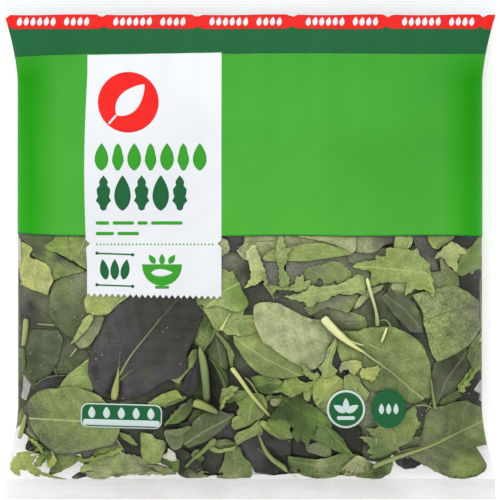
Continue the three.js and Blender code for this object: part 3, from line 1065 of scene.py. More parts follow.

# The leaves. Each is cut to an outline round its midrib, and lies under the film at a depth along
# the film's normal. They are laid from the film inwards: a map over the tube holds how deep the
# last leaf reaches at each place, and the next leaf keeps below it. A second map holds where
# leaves lie, and paints shade on what is near their edges and below them.

# Tones of the leaves as seen through the film: haze and mauve hold a painted sheen of the film over dark
# leaves, and black and soot partly paint the shade in deep gaps between leaves.
leafTones = {
    "black": (32, 37, 28), "soot": (46, 48, 45), "dark": (58, 59, 56), "plum": (72, 67, 77),
    "mauve": (92, 88, 91), "haze": (112, 111, 112), "slate": (90, 99, 80), "deep": (70, 82, 56),
    "moss": (86, 102, 66), "bottle": (86, 114, 56), "forest": (56, 78, 34), "vivid": (108, 140, 62),
    "leafy": (118, 138, 84), "mid": (129, 148, 92), "grass": (138, 160, 86), "light": (152, 172, 108),
    "lime": (158, 174, 95), "fresh": (173, 189, 122), "yellow": (180, 188, 108), "sallow": (170, 178, 106),
    "pale": (167, 173, 128), "ash": (150, 158, 118), "stone": (118, 126, 100), "chalk": (192, 200, 144),
    "butter": (236, 240, 160), "cream": (255, 255, 205), "milk": (236, 233, 228), "mist": (170, 179, 136),
}

leafBuild = {
    "firstDepth": 0.45,  # of the uppermost leaf under the film
    "gap": 0.6,
    "thickness": 0.5,
    "rimThickness": 0.12,
    "quilt": 0.38,  # how far the blade rises between its side veins
    "crumple": 0.34,
    "veinSpacing": 8.7,
    "step": 1.02,  # between places of an outline
    "crispness": 5,  # of the outline's corners
    "sideFrom": 126,  # leaves are drawn out to the right-hand fold beyond this
    "sideStretch": 0.16,
    "mapColumns": 900,
    "limitShare": 0.55,
    "edgeShade": 0.38,  # how much darker a leaf is right below another's edge
    "depthShade": 16,  # millimetres of depth that halve the light
    # painted shade, darker in the hollows of the crumples and quilt and lighter on their ridges
    "crumpleShade": 0.22,
    "rimHighlightShare": 0.55,  # how much paler the thin rim of a leaf is painted, as a painted highlight
    "footLimit": -140.6,
    "footBlend": 1.6,
    "places": (22, 164),  # fewest and most round an outline
    "rings": (4, 11),
    "ringStep": 1.6,
    "smoothing": 6,  # times that the midrib is smoothed
    "ribPlaces": 60,
    "ribEnds": 6,  # of these, how many at each end no ring shrinks to
    "smallWidth": 11,  # half width under which a leaf is flatter
    "dome": 0.045,
    "wave": (0.010, 1.1),  # height as a share of the length, and how many
    "ripple": (0.22, 3),
    "ribRise": (0.12, 1.1),  # height and width of the midrib
    "crumpleWaves": ((0.6, 7.5), (2.3, 10.5), (1.5, 15.0)),  # direction and length of each
    "ringReach": 0.3,
    "roomStep": 3,  # cells between the places where the room inside is measured
    "roomDepths": (0.5, 26),
    "foldRoom": (0.16, 0.3),  # room at a side fold, and its growth away from it
    "leastRoom": 0.06,
    "freeRoom": 6,
    "squeeze": 0.6,
    "margin": 10,  # cells of the maps that are read round a leaf
}

mapRows = int(bagForm["length"]) + 1
ceiling = np.full((mapRows, leafBuild["mapColumns"]), leafBuild["firstDepth"])
cover = np.zeros_like(ceiling)


def roomInside():
    # how deep one can go from each place of the film before the other side of the tube, by
    # stepping inwards along the normal
    stride = leafBuild["roomStep"]
    t = (np.arange(leafBuild["mapColumns"] // stride) * stride) / leafBuild["mapColumns"] * 2
    y = np.arange(0, mapRows, stride) + footEdge
    place, normal = filmFrame(t[None, :], y[:, None])
    room = np.zeros(place.shape[:2])
    inside = np.ones(place.shape[:2], bool)
    for depth in np.arange(*leafBuild["roomDepths"], 1.0):
        spot = place - normal * depth
        x, yy, z = spot[..., 0], spot[..., 1], spot[..., 2]
        inside &= (np.abs(x) < halfWidth(yy)) & (z < frontHeight(x, yy)) & (z > backHeight(x, yy))
        room = np.where(inside, depth, room)
    return np.repeat(np.repeat(room, stride, axis=0), stride, axis=1)[:mapRows]


room = roomInside() * leafBuild["limitShare"]


def readGrid(grid, row, column):  # between the four nearest cells
    row = np.clip(row, 0, grid.shape[0] - 1.001)
    column = np.clip(column, 0, grid.shape[1] - 1.001)
    r, c = row.astype(int), column.astype(int)
    fr, fc = row - r, column - c
    return (grid[r, c] * (1 - fr) * (1 - fc) + grid[r + 1, c] * fr * (1 - fc)
            + grid[r, c + 1] * (1 - fr) * fc + grid[r + 1, c + 1] * fr * fc)


def roomAt(t, y):  # the room inside a place of the film
    columns = leafBuild["mapColumns"]
    return readGrid(room, y - footEdge, (t / 2 % 1) * (columns - 1))


def squeezed(depth, t, y):
    # a depth drawn together, in the same order, where the films lie close: depth times room over
    # their sum. The room shrinks towards the side folds and to almost nothing in the seals.
    toFold = halfWidth(y) * (1 - np.abs(np.cos(np.pi * t)))
    atFold, growth = leafBuild["foldRoom"]
    most = np.maximum(np.minimum(roomAt(t, y), atFold + growth * toFold), leafBuild["leastRoom"])
    return np.where(most > leafBuild["freeRoom"], np.minimum(depth, most),
                    depth * most / (leafBuild["squeeze"] * depth + most))


def smear(part, reach, times):  # a moving mean both ways
    for axis in (0, 1) * times:
        part = np.mean([np.roll(part, k, axis) for k in range(-reach, reach + 1)], axis=0)
    return part


def lookUp(t, y, edge=2):
    # both maps around a leaf: the depth spread by a cell or two and smoothed, so that a leaf
    # slopes down gently before it passes below another, and the cover smoothed further
    margin = leafBuild["margin"]
    rowLow = max(0, int(y.min() - footEdge) - margin)
    rowHigh = min(mapRows, int(y.max() - footEdge) + margin + 1)
    columns = leafBuild["mapColumns"]
    first = int(np.floor(t.min() / 2 * columns)) - margin - 2
    last = int(t.max() / 2 * columns) + margin + 3
    pick = np.arange(first, last) % columns
    part = ceiling[rowLow:rowHigh][:, pick]
    for axis in (0, 1):
        part = np.max([np.roll(part, k, axis) for k in range(-edge, edge + 1)], axis=0)
    row, column = y - footEdge - rowLow, t / 2 * columns - first
    near = cover[rowLow:rowHigh][:, pick]
    near = 0.55 * smear(near, 1, 1) + 0.45 * smear(near, 2, 2)
    return readGrid(smear(part, 2, 2), row, column), readGrid(near, row, column)


def finer(grid, axis):  # one more place between each two
    head, tail = [np.take(grid, range(k, grid.shape[axis] - 1 + k), axis) for k in (0, 1)]
    out = np.repeat(grid, 2, axis)
    out = np.take(out, range(0, out.shape[axis] - 1), axis)
    index = [slice(None)] * grid.ndim
    index[axis] = slice(1, None, 2)
    out[tuple(index)] = (head + tail) / 2
    return out


def pressMaps(t, y, depth):  # the leaf's underside goes into the maps, filled in between places
    fine = np.stack([t, y, depth])
    for axis in (1, 2):
        for _ in range(1 if fine.shape[axis] > 40 else 2):
            fine = finer(fine, axis)
    r = np.clip(np.round(fine[1] - footEdge).astype(int), 0, mapRows - 1)
    c = np.round(fine[0] / 2 * leafBuild["mapColumns"]).astype(int) % leafBuild["mapColumns"]
    np.maximum.at(ceiling, (r.ravel(), c.ravel()), fine[2].ravel())
    cover[r.ravel(), c.ravel()] = 1


def smoothMost(first, second, blend=0.7):  # the larger of two, with a rounded change-over
    return (first + second + np.sqrt((first - second) ** 2 + blend ** 2)) / 2 - blend * 0.2


def pairs(words):  # words as rows of two numbers
    return np.array(words.split(), float).reshape(-1, 2)


def runOf(line):  # how far along a line each of its places is
    return np.concatenate([[0], np.cumsum(np.linalg.norm(np.diff(line, axis=0), axis=1))])


def smoothed(line, rounds):  # each place drawn towards its two neighbours, the ends kept
    for _ in range(rounds):
        line[1:-1] = (line[:-2] + 2 * line[1:-1] + line[2:]) / 4
    return line


def evenly(line, count):  # places at even steps along a line
    run = runOf(line)
    at = np.linspace(0, run[-1], count)
    return np.stack([np.interp(at, run, line[:, k]) for k in (0, 1)], axis=-1)


def toneOf(name):  # a tone's base colour in this light
    red, green, blue = leafTones[name]
    if green > red + 2:  # the blade's mottle darkens green tones a little
        red, green, blue = red + 4, green - 0.5, blue * 1.03
    return np.array(linear(red, green, blue)) / leafLook["exposure"]


def footStop(y, wave):  # leaves end at the foot in a soft and slightly wavy line
    low = leafBuild["footLimit"] + wave
    return low + np.logaddexp(0, (y - low) * leafBuild["footBlend"]) / leafBuild["footBlend"]


def toothed(edge, height, pitch, phase):
    # moves an outline's places along its normals by a saw of their run, which rises slowly and
    # falls fast
    ahead = np.roll(edge, -1, 0) - np.roll(edge, 1, 0)
    normal = np.stack([ahead[:, 1], -ahead[:, 0]], axis=-1)
    size = np.maximum(np.linalg.norm(normal, axis=1, keepdims=True), 1e-6)
    normal = normal / size * np.sign(signedArea(edge))
    run = np.cumsum(np.linalg.norm(ahead, axis=1)) / 2
    count = max(1, round(run[-1] / pitch))
    saw = (run / run[-1] * count + phase) % 1
    tooth = np.where(saw < 0.7, saw / 0.7, (1 - saw) / 0.3) - 0.5
    return edge + normal * (height * tooth)[:, None]


def bothSides(edge, rib, count):
    # the outline from where the midrib starts, as many places on the way to its tip as back
    edge = np.roll(edge, -np.linalg.norm(edge - rib[0], axis=1).argmin(), 0)
    tip = np.linalg.norm(edge - rib[-1], axis=1).argmin()
    tip = int(np.clip(tip, len(edge) // 6, len(edge) * 5 // 6))
    there = evenly(edge[:tip + 1], count // 2 + 1)[:-1]
    back = evenly(np.concatenate([edge[tip:], edge[:1]]), count // 2 + 1)[:-1]
    return np.concatenate([there, back])


def layLeaf(store, draw, tones, veins, rib, outline, spots=(), wish=0.6, ring=None,
            step=leafBuild["step"], teeth=None):
    # rings of places shrink from the outline towards the nearest places of the midrib. The depth
    # wished for is a dome, a slow wave, a ripple at the rim, a quilt between the side veins and
    # crumples, which are sines across each other.
    build = leafBuild
    closed = np.concatenate([outline, outline[:1]])
    around = np.linalg.norm(np.diff(closed, axis=0), axis=1).sum()
    count = int(np.clip(around / step, *build["places"])) // 2 * 2
    edge = bothSides(evenly(closed, 6 * count + 1)[:-1], rib, count)
    crispness = build["crispness"]
    edge = (np.roll(edge, 1, 0) + crispness * edge + np.roll(edge, -1, 0)) / (crispness + 2)
    if teeth:
        edge = toothed(edge, *teeth, draw.random())
    places, ends = build["ribPlaces"], build["ribEnds"]
    ribLine = smoothed(evenly(rib, places), build["smoothing"])
    length = max(1.0, np.linalg.norm(np.diff(ribLine, axis=0), axis=1).sum())
    off = np.linalg.norm(edge[:, None] - ribLine[None, ends:-ends], axis=2)
    nearest = off.argmin(axis=1).astype(float)
    for _ in range(3):
        nearest = (np.roll(nearest, 1) + nearest + np.roll(nearest, -1)) / 3
    share = (nearest + ends) / (places - 1)
    ahead = np.gradient(ribLine, axis=0)
    ahead = ahead / np.linalg.norm(ahead, axis=1, keepdims=True)
    foot, ahead = [np.stack([np.interp(share * (places - 1), np.arange(places), line[:, k])
                             for k in (0, 1)], axis=-1) for line in (ribLine, ahead)]
    reach = np.linalg.norm(edge - foot, axis=1)
    half = np.percentile(reach, 85)
    rings = int(np.clip(half / (build["ringStep"] * step), *build["rings"]))
    r = np.linspace(1, 0.03, rings)[:, None]
    spot = foot[None] + (edge - foot)[None] * r[..., None]
    vector = spot - foot[None]
    forward = (vector * ahead[None]).sum(-1)
    across = ahead[None, :, 0] * vector[..., 1] - ahead[None, :, 1] * vector[..., 0]
    along = share[None] * length + forward
    phase = draw.random(8)
    s = along / length
    if ring is None:
        y = footStop(spot[..., 1], 0.8 * np.sin(spot[..., 0] / 5 + 9 * phase[0]))
        beyond = np.maximum(0, spot[..., 0] - build["sideFrom"])
        t = turnAt(spot[..., 0] + build["sideStretch"] * beyond, y)
    else:  # the outline is laid along the ring of the tube round a place of it
        y = np.maximum(footStop(spot[..., 1] + ring[1], 0), footSealLine + 0.6)
        steps = np.linspace(ring[0] - build["ringReach"], ring[0] + build["ringReach"], 241)
        arc = runOf(filmPoint(steps, ring[1]))
        arc -= np.interp(ring[0], steps, arc)
        t = np.interp(spot[..., 0], arc, steps)
    small = min(1, half / build["smallWidth"])
    slanted = along - leafLook["veinSlant"] * np.abs(across)
    slanted = np.pi * (slanted / build["veinSpacing"] + phase[2])
    quilt = (0.5 - np.abs(np.sin(slanted))) * small
    crumple = sum(np.sin(2 * np.pi * ((along * math.cos(way) + across * math.sin(way)) / size + phase[k]))
                  for k, (way, size) in enumerate(build["crumpleWaves"], 3)) / 3
    wave, waves = build["wave"]
    ripple, ripples = build["ripple"]
    ribRise, ribWidth = build["ribRise"]
    depth = (wish + build["dome"] * half * (0.5 + phase[4]) * r ** 3
             + wave * length * np.sin(2 * np.pi * (s * waves + phase[5]))
             + ripple * small * np.sin(2 * np.pi * (s * (ripples + ripples * phase[6]) + phase[7])) * r ** 3
             + build["quilt"] * quilt + build["crumple"] * crumple * small
             + ribRise * np.exp(-(across / ribWidth) ** 2) * small)
    above, near = lookUp(t, y)
    depth = np.maximum(smoothMost(depth, above + build["gap"]), 0.1)
    rim = build["rimThickness"]
    thick = rim + (build["thickness"] - rim) * (1 - r ** 4)
    loop = np.arange(count + 1) % count
    pressMaps(t[:, loop], y[:, loop], (depth + thick)[:, loop])
    place, normal = filmFrame(t, y)
    outer = place - normal * squeezed(depth, t, y)[..., None]
    inside = place - normal * squeezed(depth + thick, t, y)[..., None]
    # tones from stalk to tip and soft spots of other tones: the leaf's own colours, with painted shade and
    # light among them
    blend = np.clip(s * 1.3 - 0.15, 0, 1)[..., None]
    colour = toneOf(tones[0]) * (1 - blend) + toneOf(tones[-1]) * blend
    for x, yy, size, tone, amount in (spots[k:k + 5] for k in range(0, len(spots), 5)):
        gone = ((spot[..., 0] - float(x)) ** 2 + (spot[..., 1] - float(yy)) ** 2) / float(size) ** 2
        weight = (float(amount) * np.exp(-gone ** 1.5))[..., None]
        colour = colour * (1 - weight) + toneOf(tone) * weight
    # painted shade: darker right below the edges of leaves above, with depth, and in the crumples' hollows
    shade = 1 - build["edgeShade"] * np.clip(near * 1.25, 0, 1) ** 1.3
    shade = shade / (1 + np.maximum(0, depth - 2) / build["depthShade"])
    shade = shade * (1 - build["crumpleShade"] * (crumple + 0.6 * quilt) * small)
    # a painted highlight along the thin rim, in stretches that change from side to side
    rimHighlight = np.sin(2 * np.pi * (s * 2.3 + phase[0])) * np.sign(across) * 0.5 + 0.5
    shade = shade * (1 + build["rimHighlightShare"] * rimHighlight * r ** 10)
    tint = np.concatenate([colour * shade[..., None], np.full((*shade.shape, 1), veins)], axis=-1)
    own = np.full_like(along, 100 * phase[6])
    marked = np.stack([along, across, own], axis=-1)
    quads, ends = ringFaces(rings, count, signedArea(edge) > 0)
    both = np.concatenate([outer.reshape(-1, 3), inside.reshape(-1, 3)])
    addFaces(store, both, quads, ends, np.concatenate([tint.reshape(-1, 4)] * 2),
             np.concatenate([marked.reshape(-1, 3)] * 2))


def frondOutline(draw, line, reach, pitch):
    # pointed lobes out and ahead on both sides of a line, shorter towards its tip
    last = len(line) - 1
    ahead = np.gradient(line, axis=0)
    step = np.linalg.norm(ahead, axis=1)
    ahead = ahead / step[:, None]
    side = np.stack([-ahead[:, 1], ahead[:, 0]], axis=-1)
    lobes = max(3, round(step.sum() / pitch))
    sides = []
    for way in (1, -1):
        share = (np.arange(lobes) + draw.uniform(0.2, 0.6, lobes)) / lobes
        spots = []
        for s, far in zip(share, reach * (1 - 0.5 * share) * draw.uniform(0.5, 1.2, lobes)):
            k = min(int(s * last), last - 1)
            out = side[k] * way
            wide = ahead[k] * pitch * 0.28
            spots += [line[k] + out * 0.5 - wide, line[k] + out * far * 0.6 - wide * 0.5,
                      line[k] + out * far + ahead[k] * far * draw.uniform(0.2, 0.8),
                      line[k] + out * far * 0.55 + wide * 1.2, line[k] + out * 0.6 + wide * 1.5]
        sides.append(np.array(spots))
    return np.concatenate([line[:1], sides[0], line[-1:], sides[1][::-1]])


def signedArea(line):  # of a closed line, positive where it turns left
    after = np.roll(line, -1, 0)
    return (line[:, 0] * after[:, 1] - after[:, 0] * line[:, 1]).sum() / 2


def ringFaces(rings, count, leftTurn):
    # two stacks of shrinking rings joined at the rim, and a strip with two triangles that closes
    # each innermost ring
    size, half = rings * count, count // 2
    i = np.arange(half - 2) + 1
    low = size - count
    strip = np.stack([low + i, low + i + 1, low + (count - i - 1), low + (count - i)], axis=-1)
    ends = np.array([[0, 1, count - 1], [half - 1, half, half + 1]]) + low
    rim = np.arange(count)
    right = (rim + 1) % count
    quads = np.concatenate([gridQuads(rings, count, wrap=True), strip,
                            gridQuads(rings, count, wrap=True, start=size, flip=True),
                            (strip + size)[:, ::-1],
                            np.stack([right, rim, size + rim, size + right], axis=-1)])
    ends = np.concatenate([ends, (ends + size)[:, ::-1]])
    return (quads, ends) if leftTurn else (quads[:, ::-1], ends[:, ::-1])


stalkBuild = {
    "firstDepth": 0.3,
    "step": 1.6,
    "rows": (12, 40),
    "sides": 10,
    "smoothing": 8,
    "endRun": 6,  # over which an end grows from half to all of its radius
    "stoutFrom": 0.55,  # radius over which a stalk presses what lies below
    "shade": 0.5,
}


def layStalk(store, tones, line, radii):
    # a tube along a smoothed line, its radius read between the given ones
    build = stalkBuild
    run = runOf(line)
    rows = int(np.clip(run[-1] / build["step"], *build["rows"]))
    sides = build["sides"]
    spot = smoothed(evenly(line, rows), build["smoothing"])
    s = np.linspace(0, 1, rows)
    radius = np.interp(s * run[-1], run, radii)
    fromEnd = 3 * np.minimum(s, 1 - s) * run[-1]
    radius = radius * np.clip(0.5 + fromEnd / build["endRun"], 0, 1) ** 0.5
    y = footStop(spot[:, 1], 0)
    t = turnAt(spot[:, 0], y)
    above, near = lookUp(t[:, None], y[:, None], edge=1)
    middle = smoothMost(build["firstDepth"] + radius, above[:, 0] + radius * 0.5, 0.3)
    radius = np.minimum(radius, 0.2 + roomAt(t, y))
    normal = filmNormal(t, y)
    sunk = np.maximum(squeezed(middle, t, y), np.minimum(radius, 0.7 * middle))
    centre = filmPoint(t, y) - normal * sunk[:, None]
    ahead = np.gradient(centre, axis=0)
    side = np.cross(ahead, normal)
    side /= np.linalg.norm(side, axis=1, keepdims=True)
    angle = np.linspace(0, 2 * np.pi, sides, endpoint=False)[None, :, None]
    loop = centre[:, None] + radius[:, None, None] * (np.cos(angle) * side[:, None]
                                                      + np.sin(angle) * normal[:, None])
    quads = gridQuads(rows, sides, wrap=True, flip=True)
    caps = [range(sides), [(rows - 1) * sides + k for k in reversed(range(sides))]]
    blend = s[:, None]
    colour = toneOf(tones[0]) * (1 - blend) + toneOf(tones[-1]) * blend
    colour = colour * (1 - build["shade"] * np.clip(near * 1.2, 0, 1))
    tint = np.repeat(np.concatenate([colour, np.full((rows, 1), 0.5)], axis=1)[:, None], sides, 1)
    marked = np.stack(np.broadcast_arrays(s[:, None] * run[-1], np.arange(sides)[None] * 0.8, 0.0), -1)
    addFaces(store, loop, quads, caps, tint.reshape(-1, 4), marked)
    reach = np.linalg.norm(np.gradient(spot, axis=0), axis=1, keepdims=True)
    way = np.gradient(spot, axis=0) / np.maximum(reach, 1e-6)
    wide = radius[:, None] * np.linspace(-1, 1, 5)[None]
    px, py = spot[:, :1] - way[:, 1:] * wide, y[:, None] + way[:, :1] * wide
    stout = radius > build["stoutFrom"]
    if stout.sum() > 1:
        pressMaps(turnAt(px, py)[stout], py[stout], (middle + radius)[stout, None] + 0 * wide[stout])


# Stalks that lie against the film, uppermost first: tones, line, radii
frontStalks = """
cream butter; 44.6 -41.6 50 -47.8 56 -53.5 63 -58.8 70 -63; 2.7 2.6 2.2 1.2 .5

cream butter; 56.5 -53.6 63 -57 69.5 -58.4; .9 .8 .3

chalk light; 66 -60.2 78 -69 86 -74.5 97 -83; .8 .5 .35 .15

chalk light; 72 -57.3 74 -59.3 78 -60.5 86 -62.3 92 -65; .4 .5 .3 .25 .12

cream light; 71.2 -17.2 73 -24 75 -31 77 -38 78 -43 77.6 -46.5; 1.1 1 .9 .9 1.3 1.3

cream butter; 83.4 -47.6 82 -52 80.1 -56.2; .7 .85 .75

grass grass; 77.6 -45 78.6 -42.6 81.5 -41 84.3 -43 86.3 -46 86.6 -49.5 83 -54.5; .4 .45 .45 .5 .6 .6 .3

butter yellow; -11.2 -72.3 -6 -79 -2 -85.5 2 -91 7 -96 12 -101.5; 1.4 1.3 1.2 1.1 1 .6

butter chalk; -17.8 -49 -15 -44.3 -12 -38.6; .95 .6 .35

yellow vivid; -34.4 -94.4 -30 -95.4 -25.5 -97.7 -20 -99.8; 2.5 2.7 2.3 1.3

light bottle; -30.7 -59.5 -29.3 -65 -27.6 -74 -26.8 -84 -26.4 -95; .7 2 2.5 2.3 2.1

grass light; 5.3 -113.3 7.2 -119 10.5 -125 14.5 -130 19.5 -134 24.5 -137 29 -139.2; .5 .9 1.3 1.6 1.6 1.4 .8

leafy leafy; 4 -121.5 9 -126 13.5 -130.5; .25 .35 .3

sallow sallow; -137.4 -42.2 -138 -50 -139 -58.5; 2 2 1.5

bottle bottle; -139.2 -60 -139 -66 -138 -71.5; 1.4 1.5 1

ash ash; -130 -45.3 -119.5 -46; .4 .6

light light; -105.8 -60.4 -109.8 -65.3; .8 .5

yellow lime; -146.3 -133 -144.8 -136.3 -141.3 -138.5; .3 .45 .3

lime sallow; -142.8 -124.6 -136.2 -123.3 -130.6 -125 -128.4 -127; .3 .45 .45 .3

lime light; -131 -134.3 -124 -137.3 -118 -139.3 -112 -140.2; .5 .5 .4 .2

sallow sallow; -137.3 -101 -139.5 -108 -141.5 -115.2; .9 1.5 1.5

yellow lime; -83.2 -91.5 -82.4 -86 -81.2 -81 -80.4 -77 -80 -71.5; 2.4 2.2 1.5 .9 .25

fresh ash; -80 -77.5 -77 -72 -74 -66.5 -70 -61 -66 -56 -60 -49 -54 -41; .6 .5 .45 .36 .3 .24 .15

light stone; -79.4 -80.3 -75.5 -76 -71 -73; .45 .28 .15

stone stone; -79.5 -72 -79 -61; .2 .12

light light; -81 -116.4 -79.3 -119.5 -76.8 -123; .45 .4 .4

grass grass; -3 -78.6 1 -82 4.3 -88; .6 .6 .5

leafy leafy; -21.3 -47.5 -22.2 -53 -25.2 -57.8; .6 .5 .25

light lime; 75.5 -134 84 -130 93 -126.8 103 -123 112 -119.8 121 -115.3 131 -109.8; 1.6 1.5 1.2 .9 .7 .5 .2

light ash; 86 -109 88 -117 91.7 -125; .45 .5 .4

mid grass; 110.6 -79 111.3 -87 112.3 -92 113.3 -97.6; .35 .7 .95 1

chalk chalk; 97.4 6 97 3 95.6 .6; .35 .4 .35

pale ash; 8 -20.5 11.5 -25 15 -30.3; .35 .35 .3

light ash; 6.2 -13.5 8.8 -17 10.8 -21; .6 .5 .5

vivid bottle; -25 -67 -20 -70.3 -16 -73.4 -14 -80; .25 .3 .3 .25

chalk pale; 54 -79 49 -84.5 42.3 -91; .35 .3 .2

chalk pale; -99.6 8.6 -101.2 3.5 -103.2 0 -105.6 -6; .3 .4 .35 .2

pale pale; -112 8.5 -111 3 -110.4 -.6; .25 .25 .15

moss moss; -119.6 -72 -118.8 -74.5 -117.3 -77.2; .7 .5 .4

bottle moss; -118 -74 -115 -72.4 -111 -72.4; .4 .5 .4

vivid moss; -131 -82.6 -129 -79.6 -124 -77.9 -118 -76.7 -111.5 -76.5; .3 .35 .35 .35 .3

mid mid; 101 -95.6 106 -94.5 109.5 -96 112 -97.2; .6 .7 .6 .5

mid light; 107 -99 110 -96.4 111 -93; .4 .45 .3

vivid grass; 25 -134.6 32 -137.4 40 -139 49 -138.8; .35 .5 .6 .4

leafy mid; 140.6 -17 140.8 -30 141 -44; .5 .6 .6

butter butter; 140.4 -56.2 141.6 -53.4; .5 .5
"""

# Feathery leaves in the foot corners and along the foot: tones, midrib, how far the lobes reach
# and their pitch
frontFronds = (
    ("light ash", (-50, -137.6, -62, -136.6, -74, -137, -84, -138.6), 2.0, 4.8),
    ("vivid grass", (-106, -129.5, -96, -129, -84, -125, -77, -121.5), 3.2, 6.0),
    ("moss vivid", (-40, -94, -46, -101, -52, -108), 2.8, 4.4),
    ("grass vivid", (128, -87, 133, -79.5, 138.5, -71), 3.0, 4.6),
    ("grass lime", (-9, -88, -15, -91, -17.6, -98), 2.4, 3.6),
)

leafTeeth = {  # height and pitch of the teeth of each kind
    "rocket": (0.7, 5.2), "mizuna": (0.9, 3.8), "frill": (0.9, 3.2), "shred": (1.0, 2.8),
    "blade": (0.25, 5), "oval": (0.2, 6.5),
}
